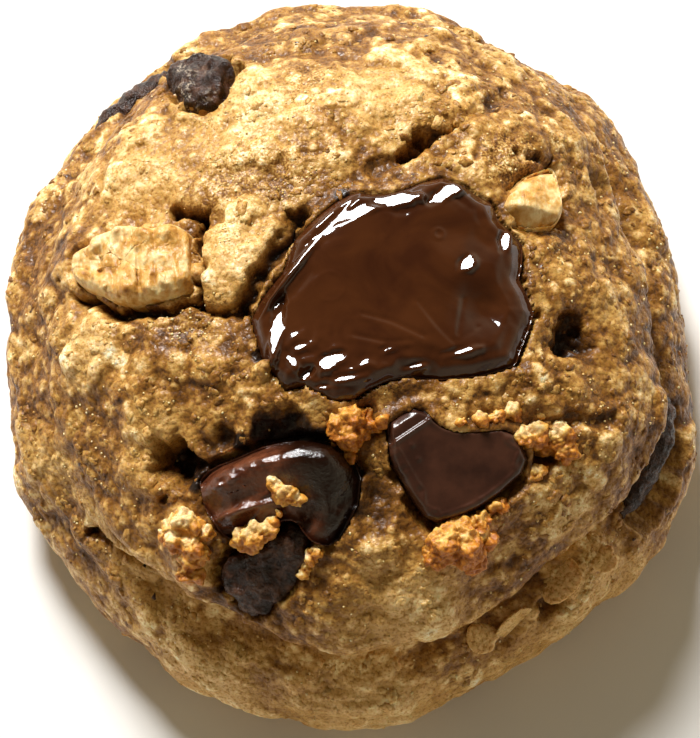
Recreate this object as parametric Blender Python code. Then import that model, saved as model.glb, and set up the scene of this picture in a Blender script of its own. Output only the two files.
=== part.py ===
# Thick oatmeal cookie with dark chocolate chunks and chopped nut pieces.
# Shapes are drawn in millimetres and turned into metres at the very end.
# +Z up, the flat underside on z = 0, the middle of the underside at x = y = 0.
import math

import bmesh
import bpy
import numpy as np
from mathutils import Matrix, Vector, noise
from mathutils.bvhtree import BVHTree

for leftover in list(bpy.data.objects):
    bpy.data.objects.remove(leftover, do_unlink=True)

# Overall form, in mm
HEIGHT = 34.0                # table to the top of the crown
CROWN_CENTRE = (1.2, -0.3)   # the crown sits a little off the middle of the foot
# radius of the spread foot and of the crown above it, every 22.5 degrees from +X
FOOT_RADII = (39.6, 40.5, 42.8, 42.2, 43.4, 42.8, 41.3, 41.2, 39.4, 40.0, 40.5, 42.0, 43.4, 41.2, 41.5, 42.2)
CROWN_RADII = (33.8, 32.9, 36.0, 37.2, 37.0, 37.0, 37.2, 35.8, 35.2, 34.9, 35.8, 35.6, 37.1, 35.5, 34.8, 36.3)
# depth of the crease under the crown, every 22.5 degrees from +X: a crevice on the right, almost none at the left
CREASE_DEPTHS = (4.2, 3.2, 1.6, 0.6, 0.3, 0.5, 1.2, 0.6, 0.2, 0.4, 1.0, 1.6, 1.5, 1.6, 2.4, 4.0)
GRID_CUTS = 21               # cuts along each edge of the starting cube
GAP = 0.35                   # free space between a topping and its pocket

# Oat flakes fused to the dough
FLAKE_COUNT = 78
FLAKE_LENGTH = (4.8, 7.6)
FLAKE_WIDTH_SHARE = (0.66, 0.86)
FLAKE_THICKNESS = 1.3
FLAKE_SEED = 41

# Relief on the dough: x, y, z of the middle, radius, height
LUMPS = (
    (-11.7, 2.9, 33.0, 6.6, 1.9), (-11.2, 8.4, 32.6, 3.6, 0.9), (-5.1, 21.8, 30.6, 11.0, 1.3),
    (17.2, 20.0, 29.2, 9.0, 1.1), (24.9, 3.6, 29.2, 6.5, 1.0), (23.3, -10.2, 29.7, 5.5, 1.1),
    (27.8, -15.6, 26.0, 6.0, 1.3), (11.3, -27.6, 27.7, 6.0, 1.5), (3.7, -27.2, 28.8, 4.5, 1.0),
    (8.1, -32.4, 24.7, 7.0, 0.9), (-28.2, -4.6, 25.9, 6.0, 1.0), (-21.3, -4.9, 30.0, 5.5, 0.9),
    (-12.5, -8.8, 32.4, 5.5, 1.0), (-22.6, -12.0, 28.8, 5.0, 1.0), (39.6, -16.1, 8.1, 6.5, 0.3),
    (-16.9, -27.4, 24.3, 4.8, 1.4), (27.0, -27.0, 12.5, 6.5, 1.2), (9.2, 21.6, 30.4, 4.6, 1.0),
    (33.0, -26.0, 9.0, 7.0, 0.8), (-31.0, 6.0, 24.0, 5.5, 0.8), (-26.0, 17.0, 27.0, 8.0, 0.9),
    (6.0, 29.0, 27.0, 7.0, 0.8), (-8.0, -13.6, 32.6, 4.5, 0.8), (19.4, -4.4, 31.8, 3.0, 0.7),
    (-36.0, -16.0, 9.0, 9.0, 0.7), (-20.0, -37.0, 8.0, 9.0, 0.8), (4.0, -42.0, 8.0, 9.0, 0.6),
)
# pits: x, y, z of the middle, radius, depth
PITS = (
    (25.1, -3.9, 29.4, 3.4, 2.4), (21.7, -17.3, 28.3, 2.4, 1.4), (29.3, 16.2, 23.2, 3.0, 1.2),
    (-18.9, -18.6, 28.1, 3.8, 3.0), (-6.5, -15.4, 32.0, 3.2, 1.8), (23.4, -31.4, 13.8, 2.8, 1.6),
    (-13.4, -15.9, 30.8, 2.4, 1.3), (-34.0, -20.0, 14.0, 5.0, 0.8),
)
# cracks: half width, depth, then the points the crack runs through
CRACKS = (
    (2.2, 3.0, ((5.2, 15.2, 32.7), (7.1, 16.8, 32.1), (8.4, 18.0, 31.7), (10.7, 19.1, 31.1))),
    (2.0, 1.0, ((10.7, 19.1, 31.1), (13.3, 20.9, 29.9), (16.2, 23.0, 28.3), (18.0, 25.1, 26.7))),
    (1.9, 1.4, ((-19.2, 10.7, 30.2), (-17.6, 10.0, 30.9), (-15.6, 9.8, 31.6))),
    (1.9, 1.6, ((-29.8, 1.6, 24.9), (-27.1, -0.2, 27.1), (-25.0, -1.4, 28.4), (-21.9, -1.8, 29.9),
                (-19.1, -1.7, 31.1), (-16.4, -1.2, 31.9), (-13.4, -2.1, 32.7), (-10.8, -2.6, 33.2))),
    (1.8, 1.6, ((-15.9, 9.4, 31.5), (-15.8, 6.0, 31.8), (-15.7, 2.1, 32.0), (-15.9, -0.4, 32.0))),
    (1.8, 1.2, ((-5.0, 8.0, 33.6), (-6.8, 5.6, 33.6), (-8.2, 3.1, 33.6), (-9.8, 0.0, 33.5), (-10.8, -2.3, 33.3))),
    (1.8, 0.8, ((21.0, -13.6, 29.8), (25.0, -13.6, 28.1), (29.0, -12.6, 26.1))),
    (1.8, 1.3, ((19.6, 17.0, 29.4), (23.4, 17.2, 27.6))),
    (1.9, 1.5, ((-28.2, -22.6, 15.1), (-25.8, -24.3, 15.5), (-24.1, -25.6, 16.0), (-20.9, -28.3, 18.5),
                (-18.4, -30.0, 19.5))),
    (2.6, 1.3, ((1.2, -14.0, 33.0), (1.8, -16.6, 32.5), (2.6, -19.7, 31.7), (3.4, -22.7, 30.7),
                (3.0, -25.4, 29.6))),
)

# Outlines of the toppings in plan, seen from above, in mm
POOL = ((0.9, 10.6), (4.1, 10.4), (7.6, 11.4), (9.3, 12.6), (11.7, 12.7), (13.4, 11.2), (16.0, 10.0),
        (16.4, 7.7), (18.0, 6.9), (19.0, 5.6), (18.9, 3.8), (18.4, 1.3), (19.8, -0.9), (20.1, -2.3),
        (18.8, -5.7), (18.0, -7.9), (14.6, -9.0), (10.6, -9.6), (8.4, -9.5), (5.3, -9.5), (2.7, -10.6),
        (0.1, -12.3), (-1.9, -12.1), (-4.1, -10.2), (-6.3, -11.0), (-7.4, -9.6), (-8.8, -7.4),
        (-9.8, -3.7), (-8.6, -1.0), (-6.3, 1.7), (-5.5, 4.9), (-3.0, 7.8), (-0.8, 9.6))
CHUNK_RIGHT = ((4.7, -15.0), (6.3, -13.8), (8.0, -13.0), (8.9, -14.2), (10.1, -15.2), (12.5, -15.6),
               (15.6, -15.3), (17.5, -14.8), (18.5, -15.7), (19.5, -17.5), (19.0, -19.0), (17.3, -20.6),
               (16.1, -21.7), (13.4, -23.4), (11.2, -24.2), (9.3, -24.8), (8.4, -23.8), (7.2, -22.1),
               (6.4, -20.7), (5.0, -18.6))
CHUNK_LEFT = ((-15.4, -20.3), (-14.2, -19.2), (-11.6, -18.4), (-9.0, -17.4), (-6.5, -16.9), (-4.0, -16.8),
              (-1.4, -17.5), (0.5, -18.9), (1.2, -20.7), (0.9, -23.2), (-0.1, -25.1), (-1.3, -26.8),
              (-2.6, -27.2), (-3.7, -26.0), (-4.9, -24.4), (-6.6, -24.2), (-8.4, -25.0), (-10.8, -26.0),
              (-12.6, -25.8), (-13.9, -24.6), (-15.0, -22.6))
SHARD = ((-12.2, -28.2), (-10.4, -27.4), (-8.3, -26.6), (-6.6, -25.7), (-5.3, -25.8), (-4.5, -27.2),
         (-4.7, -28.7), (-5.8, -30.6), (-7.5, -32.2), (-9.6, -33.6), (-11.0, -33.2), (-11.8, -32.0),
         (-13.0, -31.2), (-13.5, -29.8), (-12.9, -28.8))
CHUNK_RIM = ((-19.9, 28.9), (-19.6, 30.2), (-18.2, 30.9), (-16.7, 31.2), (-15.6, 30.4), (-14.5, 30.1),
             (-12.9, 29.4), (-13.2, 28.4), (-14.2, 27.6), (-14.4, 26.0), (-14.9, 24.5), (-15.9, 23.8),
             (-17.5, 24.2), (-18.2, 25.5), (-18.9, 27.0))
NUT_LEFT = ((-27.2, 7.6), (-26.2, 8.0), (-24.2, 8.5), (-21.6, 7.8), (-20.4, 7.4), (-18.8, 8.0),
            (-17.6, 6.8), (-17.3, 3.7), (-17.2, 0.5), (-19.7, 0.0), (-23.3, -0.3), (-25.0, 0.3),
            (-26.5, 1.5), (-28.1, 2.2), (-29.6, 3.8), (-30.0, 5.6), (-29.0, 6.5), (-27.9, 7.1))
NUT_RIGHT = ((17.5, 10.3), (18.1, 12.0), (19.3, 13.7), (20.9, 14.8), (22.5, 15.5), (22.8, 13.7),
             (23.1, 11.5), (23.4, 9.6), (22.3, 8.3), (20.3, 7.9), (18.5, 8.2), (17.7, 9.0))
# Chunks caught in the crease under the crown: angle in degrees, inner and outer radius, low and high side
CHUNK_SIDE = ((-10.5, 36.0, 37.3, 13.0, 14.9), (-13.0, 34.5, 38.6, 12.2, 15.7), (-18.0, 33.8, 39.1, 11.6, 16.0),
              (-23.0, 33.8, 38.9, 11.6, 15.9), (-27.0, 34.2, 38.6, 11.8, 15.5), (-31.0, 34.6, 38.3, 12.0, 15.0),
              (-33.5, 35.8, 37.6, 12.6, 14.4))
CHUNK_BACK = ((122.0, 37.2, 38.6, 13.2, 14.4), (124.5, 36.6, 39.2, 12.5, 14.9), (130.0, 36.4, 39.5, 12.3, 15.1),
              (135.0, 36.4, 39.5, 12.3, 15.0), (138.5, 37.2, 38.9, 13.0, 14.3))


def smooth_step(low, high, value):
    share = min(1.0, max(0.0, (value - low) / (high - low)))
    return share * share * (3.0 - 2.0 * share)


def spline(p0, p1, p2, p3, t):
    return 0.5 * (2 * p1 + (p2 - p0) * t + (2 * p0 - 5 * p1 + 4 * p2 - p3) * t * t
                  + (3 * p1 - p0 - 3 * p2 + p3) * t ** 3)


def ring_radius(radii, angle):
    """Radius at an angle, from a smooth closed curve through the listed radii."""
    place = (angle / (2 * math.pi) * len(radii)) % len(radii)
    first = int(place)
    near = [radii[(first + k - 1) % len(radii)] for k in range(4)]
    return spline(*near, place - first)


# How far along the skin each profile point lies: 0 is the top, 1 the middle of the underside
PROFILE_STEPS = (0, 0.10, 0.19, 0.275, 0.345, 0.39, 0.425, 0.46, 0.51, 0.55, 0.60, 0.655, 0.71, 0.765, 0.81,
                 0.85, 0.93, 1.0)


def profile(angle):
    """Radius and height of the skin from the top to the middle of the underside."""
    crown, foot = ring_radius(CROWN_RADII, angle), ring_radius(FOOT_RADII, angle)
    groove = ring_radius(CREASE_DEPTHS, angle)
    # where the crease runs out, the flank is one slope from crown to foot
    merge = 1.0 - smooth_step(0.2, 1.5, groove)
    step = foot - crown
    flank = [crown + step * share for share in (0.12, 0.3, 0.52, 0.78)]
    crease = (0.97 * crown, crown - groove, crown - 0.6 * groove + 0.6, crown + 0.5 * step - 0.3)
    side = [a + (b - a) * merge for a, b in zip(crease, flank)]
    h = HEIGHT
    return ((0.0, h), (0.3 * crown, 0.983 * h), (0.55 * crown, 0.925 * h), (0.76 * crown, 0.825 * h),
            (0.91 * crown, 0.71 * h), (0.985 * crown, 0.63 * h), (crown, 0.585 * h),
            (side[0], 0.545 * h), (side[1], 0.50 * h), (side[2], 0.455 * h), (side[3], 0.41 * h),
            (0.97 * foot, 0.33 * h), (foot, 0.215 * h), (0.985 * foot, 0.11 * h), (0.94 * foot, 0.035 * h),
            (0.88 * foot, 0.0), (0.6 * foot, 0.0), (0.0, 0.0))


def skin_point(angle, along):
    """Point of the plain form, before any relief."""
    points = profile(angle)
    last = len(points) - 1
    i = min(last - 1, max(k for k in range(len(points)) if PROFILE_STEPS[k] <= along))
    t = (along - PROFILE_STEPS[i]) / (PROFILE_STEPS[i + 1] - PROFILE_STEPS[i])
    before = points[i - 1] if i else (-points[1][0], points[1][1])
    after = points[i + 2] if i + 2 <= last else (-points[last - 1][0], 0.0)
    radius, z = (spline(before[k], points[i][k], points[i + 1][k], after[k], t) for k in (0, 1))
    if along >= PROFILE_STEPS[15]:
        z = 0.0
    lean = smooth_step(13.0, 19.0, z)
    return Vector((radius * math.cos(angle) + CROWN_CENTRE[0] * lean,
                   radius * math.sin(angle) + CROWN_CENTRE[1] * lean, max(0.0, z)))


def distance_to_path(point, path):
    best = 1e9
    for a, b in zip(path[:-1], path[1:]):
        a, b = Vector(a), Vector(b)
        t = max(0.0, min(1.0, (point - a).dot(b - a) / (b - a).length_squared))
        best = min(best, (point - a.lerp(b, t)).length)
    return best


def relief(point):
    """How far the dough stands out (+) or in (-) at a point of the plain form."""
    out = 0.0
    for x, y, z, radius, height in LUMPS:
        share = (point - Vector((x, y, z))).length / radius
        if share < 1.0:
            out = max(out, height * (1.0 - share * share) ** 1.5)
    out += 0.8 * noise.noise(point / 8.5) + 0.45 * noise.noise(point / 4.6 + Vector((7, 3, 1))) - 0.1
    for x, y, z, radius, depth in PITS:
        share = (point - Vector((x, y, z))).length / radius
        if share < 1.0:
            out -= depth * (1.0 - share * share) ** 2
    for half_width, depth, path in CRACKS:
        share = distance_to_path(point, path) / half_width
        if share < 1.0:
            out -= depth * (1.0 - share * share)
    return out * smooth_step(0.6, 4.5, point.z)


def new_object(name, bm):
    bmesh.ops.triangulate(bm, faces=bm.faces[:])
    bmesh.ops.recalc_face_normals(bm, faces=bm.faces[:])
    mesh = bpy.data.meshes.new(name)
    bm.to_mesh(mesh)
    bm.free()
    obj = bpy.data.objects.new(name, mesh)
    bpy.context.scene.collection.objects.link(obj)
    return obj


# The dough: a cube grid blown out to the profile, then given its relief
dough = bmesh.new()
bmesh.ops.create_cube(dough, size=2.0)
bmesh.ops.subdivide_edges(dough, edges=dough.edges[:], cuts=GRID_CUTS, use_grid_fill=True)
for vert in dough.verts:
    way = Vector([math.tan(c * math.pi / 4) for c in vert.co]).normalized()
    along = math.acos(max(-1.0, min(1.0, way.z))) / math.pi
    vert.co = skin_point(math.atan2(way.y, way.x) % (2 * math.pi), along)
bmesh.ops.triangulate(dough, faces=dough.faces[:])
bmesh.ops.recalc_face_normals(dough, faces=dough.faces[:])
plain_tree = BVHTree.FromBMesh(dough)
dough.normal_update()
moves = [vert.normal * relief(vert.co) for vert in dough.verts]
for vert, move in zip(dough.verts, moves):
    vert.co += move
    vert.co.z = min(vert.co.z, HEIGHT + 0.6)
# the underside is one flat face
under = [face for face in dough.faces if all(abs(vert.co.z) < 1e-6 for vert in face.verts)]
bmesh.ops.dissolve_faces(dough, faces=under, use_verts=True)
skin_tree = BVHTree.FromBMesh(dough)
body = new_object("cookie_dough", dough)


def drop(tree, x, y):
    """Height of the skin straight below a point."""
    return tree.ray_cast(Vector((x, y, 90.0)), Vector((0, 0, -1)))[0].z


def resample(outline, count):
    """Points at equal steps around a closed outline."""
    points = np.array(list(outline) + [outline[0]], dtype=float)
    travelled = np.concatenate([[0], np.cumsum(np.linalg.norm(np.diff(points, axis=0), axis=1))])
    steps = np.arange(count) * travelled[-1] / count
    return np.stack([np.interp(steps, travelled, points[:, k]) for k in (0, 1)], axis=1)


def grown(points, by):
    """The same closed outline pushed outward by a distance."""
    tangent = np.roll(points, -1, axis=0) - np.roll(points, 1, axis=0)
    normal = np.stack([tangent[:, 1], -tangent[:, 0]], axis=1)
    normal /= np.linalg.norm(normal, axis=1)[:, None]
    area = np.sum(points[:, 0] * np.roll(points[:, 1], -1) - points[:, 1] * np.roll(points[:, 0], -1))
    return points + normal * (by if area > 0 else -by)


class Seat:
    """A flat drawing plane laid over the skin where a topping sits."""

    def __init__(self, outline):
        rim = [Vector((x, y, drop(plain_tree, x, y))) for x, y in outline]
        self.middle = sum(rim, Vector()) / len(rim)
        axis = sum((plain_tree.find_nearest(p)[1] for p in rim), Vector()).normalized()
        self.axis = axis
        self.right = Vector((1, 0, 0)).cross(axis).cross(axis).normalized() * -1.0
        self.ahead = axis.cross(self.right)
        self.rim = np.array([(self.flat(p)) for p in rim])

    def flat(self, point):
        away = point - self.middle
        return away.dot(self.right), away.dot(self.ahead)

    def point(self, u, v, height):
        return self.middle + self.right * u + self.ahead * v + self.axis * height

    def skin(self, u, v):
        """Height of the plain skin over the plane."""
        hit = plain_tree.ray_cast(self.point(u, v, 25.0), -self.axis)[0]
        return (hit - self.middle).dot(self.axis) if hit else -8.0


def ring_solid(name, rings, floor):
    """Closed solid from rings of points, the last of them closed by a fan, over a flat floor ring."""
    bm = bmesh.new()
    loops = [[bm.verts.new(p) for p in ring] for ring in [floor] + rings]
    count = len(floor)
    for low, high in zip(loops[:-1], loops[1:]):
        for i in range(count):
            j = (i + 1) % count
            bm.faces.new((low[i], low[j], high[j], high[i]))
    tip = bm.verts.new(sum((v.co for v in loops[-1]), Vector()) / count)
    for i in range(count):
        bm.faces.new((loops[-1][i], loops[-1][(i + 1) % count], tip))
    bm.faces.new(list(reversed(loops[0])))
    return new_object(name, bm)


cutters = bpy.data.collections.new("pockets")
bpy.context.scene.collection.children.link(cutters)


def hide_as_cutter(obj):
    bpy.context.scene.collection.objects.unlink(obj)
    cutters.objects.link(obj)
    obj.hide_render = True
    obj.display_type = "WIRE"


def topping(name, outline, depth, rise, shares, points=36):
    """A piece sunk in the dough. rise(share, x, y, skin) gives the top over the seat's plane."""
    seat = Seat(outline)
    rim = resample(seat.rim, points)
    middle = rim.mean(axis=0)
    low = min(seat.skin(u, v) for u, v in rim)
    rings = []
    for share in shares:
        ring = []
        for u, v in middle + (rim - middle) * (1.0 - share):
            place = seat.point(u, v, 0.0)
            ring.append(seat.point(u, v, rise(share, place.x, place.y, seat.skin(u, v))))
        rings.append(ring)
    inner = middle + (rim - middle) * 0.86
    floor = [seat.point(u, v, low - depth) for u, v in inner]
    waist = [seat.point(u, v, min(seat.skin(u, v), low + 1.0) - 0.45 * depth) for u, v in rim]
    piece = ring_solid(name, [waist] + rings, floor)
    wall = grown(rim, GAP)
    base = grown(inner, GAP)
    cutter = ring_solid(name + "_pocket", [[seat.point(u, v, low - 0.45 * depth - 0.6) for u, v in wall],
                                           [seat.point(u, v, 14.0) for u, v in wall]],
                        [seat.point(u, v, low - depth - GAP) for u, v in base])
    hide_as_cutter(cutter)
    return piece


def rounded(share, edge, crest):
    """Edge of a melted piece: low at the rim, quickly up to its crest."""
    return edge + (crest - edge) * min(1.0, share / 0.16) ** 0.5


def pool_top(share, x, y, skin):
    wave = 0.7 * noise.noise(Vector((x / 7.0, y / 4.5, 2.0)))
    recess = 1.3 * math.exp(-((x - 14.6) ** 2 + (y + 2.4) ** 2) / 6.0)
    fold = 0.5 * math.exp(-((x * 0.8 - y * 0.6 + 7.5) / 1.6) ** 2)
    return skin + rounded(share, 0.1, 1.1) + (wave - recess + fold) * min(1.0, share / 0.2) - 0.35 * share


def chunk_right_top(share, x, y, skin):
    return -0.05 if share < 0.03 else 0.55


def chunk_left_top(share, x, y, skin):
    across = x * 0.5 - y * 0.87
    ridge = 0.55 * math.sin(across * 2 * math.pi / 3.3)
    return skin + rounded(share, -0.1, 0.9) + ridge * min(1.0, share / 0.2)


def shard_top(share, x, y, skin):
    return skin + rounded(share, -0.7, -0.1) + 0.5 * noise.noise(Vector((x / 2.5, y / 2.5, 5.0))) * share


def chunk_rim_top(share, x, y, skin):
    return skin + rounded(share, -0.2, 0.8) + 0.3 * noise.noise(Vector((x / 2.5, y / 2.5, 9.0)))


def nut_left_top(share, x, y, skin):
    grain = 0.45 * math.sin((x + 0.15 * y) * 2 * math.pi / 2.6) * min(1.0, share / 0.15)
    return skin + rounded(share, 0.1, 1.9) + grain - 0.5 * share


def nut_right_top(share, x, y, skin):
    facet = 0.35 * (y - 11.0) if y < 11.0 else 0.12 * (11.0 - y)
    return skin + rounded(share, 0.2, 2.2) + facet * min(1.0, share / 0.2)


melted = (0.0, 0.04, 0.12, 0.3, 0.52, 0.76)
pieces = [
    topping("chocolate_pool", POOL, 4.5, pool_top, melted, 44),
    topping("chocolate_chunk_right", CHUNK_RIGHT, 5.0, chunk_right_top, (0.0, 0.06, 0.6), 28),
    topping("chocolate_chunk_left", CHUNK_LEFT, 5.0, chunk_left_top, melted, 36),
    topping("chocolate_shard", SHARD, 3.6, shard_top, (0.0, 0.12, 0.5), 24),
    topping("chocolate_chunk_rim", CHUNK_RIM, 4.0, chunk_rim_top, (0.0, 0.12, 0.5), 24),
    topping("nut_piece_left", NUT_LEFT, 4.0, nut_left_top, (0.0, 0.05, 0.16, 0.38, 0.66), 34),
    topping("nut_piece_right", NUT_RIGHT, 4.0, nut_right_top, (0.0, 0.06, 0.2, 0.55), 20),
]


def crease_sweep(name, stations, spare):
    """A closed solid that follows the crease, its section a rectangle with cut corners."""
    bm = bmesh.new()
    loops = []
    for degrees, inner, outer, low, high in stations:
        angle = math.radians(degrees)
        inner, outer, low, high = inner - spare, outer + spare, low - spare, high + spare
        cut = 0.28 * min(outer - inner, high - low)
        section = ((inner + cut, low), (outer - cut, low), (outer, low + cut), (outer, high - cut),
                   (outer - cut, high), (inner + cut, high), (inner, high - cut), (inner, low + cut))
        loops.append([bm.verts.new((r * math.cos(angle), r * math.sin(angle), z)) for r, z in section])
    for first, second in zip(loops[:-1], loops[1:]):
        for i in range(8):
            j = (i + 1) % 8
            bm.faces.new((first[i], first[j], second[j], second[i]))
    bm.faces.new(loops[0])
    bm.faces.new(loops[-1])
    return new_object(name, bm)


def lodged_chunk(name, stations):
    """A broken piece caught in the crease under the crown."""
    turn = math.copysign(math.degrees(GAP / stations[0][1]), stations[-1][0] - stations[0][0])
    ends = [(stations[0][0] - turn,) + stations[0][1:], (stations[-1][0] + turn,) + stations[-1][1:]]
    hide_as_cutter(crease_sweep(name + "_pocket", [ends[0]] + list(stations[1:-1]) + [ends[1]], GAP))
    return crease_sweep(name, stations, 0.0)


pieces += [lodged_chunk("chocolate_chunk_side", CHUNK_SIDE), lodged_chunk("chocolate_chunk_back", CHUNK_BACK)]

# Oat flakes: directions from a golden-angle spiral, largest first, kept clear of the toppings
outlines = [np.array([(v.co.x, v.co.y, v.co.z) for v in piece.data.vertices]) for piece in pieces]
rng = np.random.RandomState(FLAKE_SEED)
core = Vector((0.0, 0.0, 8.0))
flakes = []
for k in range(FLAKE_COUNT):
    up = 1.0 - (k + 0.5) * 1.12 / FLAKE_COUNT
    turn = k * math.pi * (3.0 - math.sqrt(5.0)) + rng.uniform(-0.12, 0.12)
    flat = math.sqrt(max(0.0, 1.0 - up * up))
    way = Vector((flat * math.cos(turn), flat * math.sin(turn), up))
    length = rng.uniform(*FLAKE_LENGTH)
    width = length * rng.uniform(*FLAKE_WIDTH_SHARE)
    spin, tilt_a, tilt_b = rng.uniform(0, math.pi), rng.uniform(-0.2, 0.2), rng.uniform(-0.2, 0.2)
    flakes.append((length, width, way, spin, tilt_a, tilt_b))
flakes.sort(key=lambda flake: -flake[0])

oats = bpy.data.collections.new("oats")
bpy.context.scene.collection.children.link(oats)
placed = []
for number, (length, width, way, spin, tilt_a, tilt_b) in enumerate(flakes):
    spot, normal = skin_tree.ray_cast(core + way * 100.0, -way)[:2]
    near = min(np.min(np.linalg.norm(cloud - np.array(spot), axis=1)) for cloud in outlines)
    if spot.z < 4.5 or near < 0.62 * length + 0.6:
        continue
    if any((spot - other).length < 0.42 * (length + reach) for other, reach in placed):
        continue
    placed.append((spot, length))
    flake = bmesh.new()
    bmesh.ops.create_cone(flake, cap_ends=True, segments=8, radius1=1.0, radius2=0.8, depth=1.0)
    bmesh.ops.scale(flake, vec=(length / 2, width / 2, FLAKE_THICKNESS), verts=flake.verts[:])
    lay = (Matrix.Translation(spot) @ normal.to_track_quat("Z", "Y").to_matrix().to_4x4()
           @ Matrix.Rotation(spin, 4, "Z") @ Matrix.Rotation(tilt_a, 4, "X") @ Matrix.Rotation(tilt_b, 4, "Y"))
    bmesh.ops.transform(flake, matrix=lay, verts=flake.verts[:])
    obj = new_object("flake_%02d" % number, flake)
    bpy.context.scene.collection.objects.unlink(obj)
    oats.objects.link(obj)
print("flakes fused:", len(placed))


def boolean(target, collection, operation):
    """One Boolean with a whole collection, applied, and the collection's objects removed."""
    step = target.modifiers.new(operation, "BOOLEAN")
    step.operation = operation
    step.operand_type = "COLLECTION"
    step.collection = collection
    step.solver = "EXACT"
    bpy.context.view_layer.update()
    result = target.evaluated_get(bpy.context.evaluated_depsgraph_get())
    mesh = bpy.data.meshes.new_from_object(result)
    target.modifiers.clear()
    target.data = mesh
    for obj in list(collection.objects):
        bpy.data.objects.remove(obj, do_unlink=True)


boolean(body, oats, "UNION")
boolean(body, cutters, "DIFFERENCE")

# Short edges left by the cuts are closed up and loose scraps dropped, then metres
for obj in [body] + pieces:
    bm = bmesh.new()
    bm.from_mesh(obj.data)
    bmesh.ops.remove_doubles(bm, verts=bm.verts[:], dist=0.02)
    bmesh.ops.dissolve_degenerate(bm, edges=bm.edges[:], dist=0.01)
    bmesh.ops.triangulate(bm, faces=bm.faces[:])
    unseen, islands = set(bm.verts), []
    while unseen:
        stack, island = [unseen.pop()], []
        while stack:
            vert = stack.pop()
            island.append(vert)
            for edge in vert.link_edges:
                other = edge.other_vert(vert)
                if other in unseen:
                    unseen.remove(other)
                    stack.append(other)
        islands.append(island)
    islands.sort(key=len)
    print(obj.name, "pieces", [len(island) for island in islands], "triangles", len(bm.faces),
          "not closed", sum(1 for edge in bm.edges if len(edge.link_faces) != 2))
    for island in islands[:-1]:
        bmesh.ops.delete(bm, geom=island, context="VERTS")
    bmesh.ops.recalc_face_normals(bm, faces=bm.faces[:])
    bmesh.ops.scale(bm, vec=(0.001, 0.001, 0.001), verts=bm.verts[:])
    bm.to_mesh(obj.data)
    bm.free()
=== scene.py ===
import bpy
import bmesh
import math
import numpy as np
from mathutils import Matrix, Vector, noise
from mathutils.bvhtree import BVHTree
from mathutils.kdtree import KDTree


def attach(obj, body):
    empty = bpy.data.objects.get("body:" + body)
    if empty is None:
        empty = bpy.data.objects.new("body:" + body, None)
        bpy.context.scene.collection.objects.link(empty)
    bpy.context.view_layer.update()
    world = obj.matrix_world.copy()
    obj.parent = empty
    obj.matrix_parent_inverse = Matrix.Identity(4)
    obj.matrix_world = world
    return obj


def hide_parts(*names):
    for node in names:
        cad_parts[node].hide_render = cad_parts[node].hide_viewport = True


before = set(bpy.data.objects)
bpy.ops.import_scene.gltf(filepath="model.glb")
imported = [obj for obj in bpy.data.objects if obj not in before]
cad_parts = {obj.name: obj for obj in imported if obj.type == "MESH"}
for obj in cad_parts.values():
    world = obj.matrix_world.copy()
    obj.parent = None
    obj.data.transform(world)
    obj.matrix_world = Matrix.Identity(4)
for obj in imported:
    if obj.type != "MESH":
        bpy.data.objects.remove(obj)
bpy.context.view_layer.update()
mm = 0.001
print("frame loaded")


def smoothStep(low, high, value):
    share = np.clip((value - low) / (high - low), 0.0, 1.0)
    return share * share * (3.0 - 2.0 * share)


def noiseAt(points, size, shift=(0, 0, 0), basis="PERLIN_ORIGINAL"):
    shift = Vector(shift)
    return np.array([noise.noise(Vector(p) / size + shift, noise_basis=basis) for p in points])


def waves(points, rows):
    # noise added up: each row is its height and size in mm, and its shift
    return sum(height * noiseAt(points, size, shift) for height, size, shift in rows)


def pathDistance(points, path):
    # distance of each point to a line through the listed places, in plan or in space
    best = np.full(len(points), 1e9)
    for a, b in zip(path[:-1], path[1:]):
        a, b = np.array(a, dtype=float), np.array(b, dtype=float)
        t = np.clip((points - a) @ (b - a) / np.dot(b - a, b - a), 0.0, 1.0)
        best = np.minimum(best, np.linalg.norm(points - a - t[:, None] * (b - a), axis=1))
    return best


def readPoints(obj):
    points = np.empty(len(obj.data.vertices) * 3)
    obj.data.vertices.foreach_get("co", points)
    return points.reshape(-1, 3) / mm


def writePoints(obj, points):
    obj.data.vertices.foreach_set("co", (points * mm).ravel())
    obj.data.update()


def readNormals(obj):
    normals = np.empty(len(obj.data.vertices) * 3)
    obj.data.vertex_normals.foreach_get("vector", normals)
    return normals.reshape(-1, 3)


def pointTree(points):
    tree = KDTree(len(points))
    for i, p in enumerate(points):
        tree.insert(p, i)
    tree.balance()
    return tree


def surfaceTree(points, mesh):
    return BVHTree.FromPolygons([Vector(p) for p in points], [list(f.vertices) for f in mesh.polygons])


def storeAttribute(obj, name, values):
    attribute = obj.data.attributes.new(name, "FLOAT", "POINT")
    attribute.data.foreach_set("value", np.asarray(values, dtype=float))


def useOnly(*objs):
    bpy.ops.object.select_all(action="DESELECT")
    for obj in objs:
        obj.select_set(True)
    bpy.context.view_layer.objects.active = objs[0]


def applyModifier(obj, kind, settings):
    useOnly(obj)
    step = obj.modifiers.new(kind, kind)
    for key, value in settings.items():
        setattr(step, key, value)
    bpy.ops.object.modifier_apply(modifier=step.name)


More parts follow.
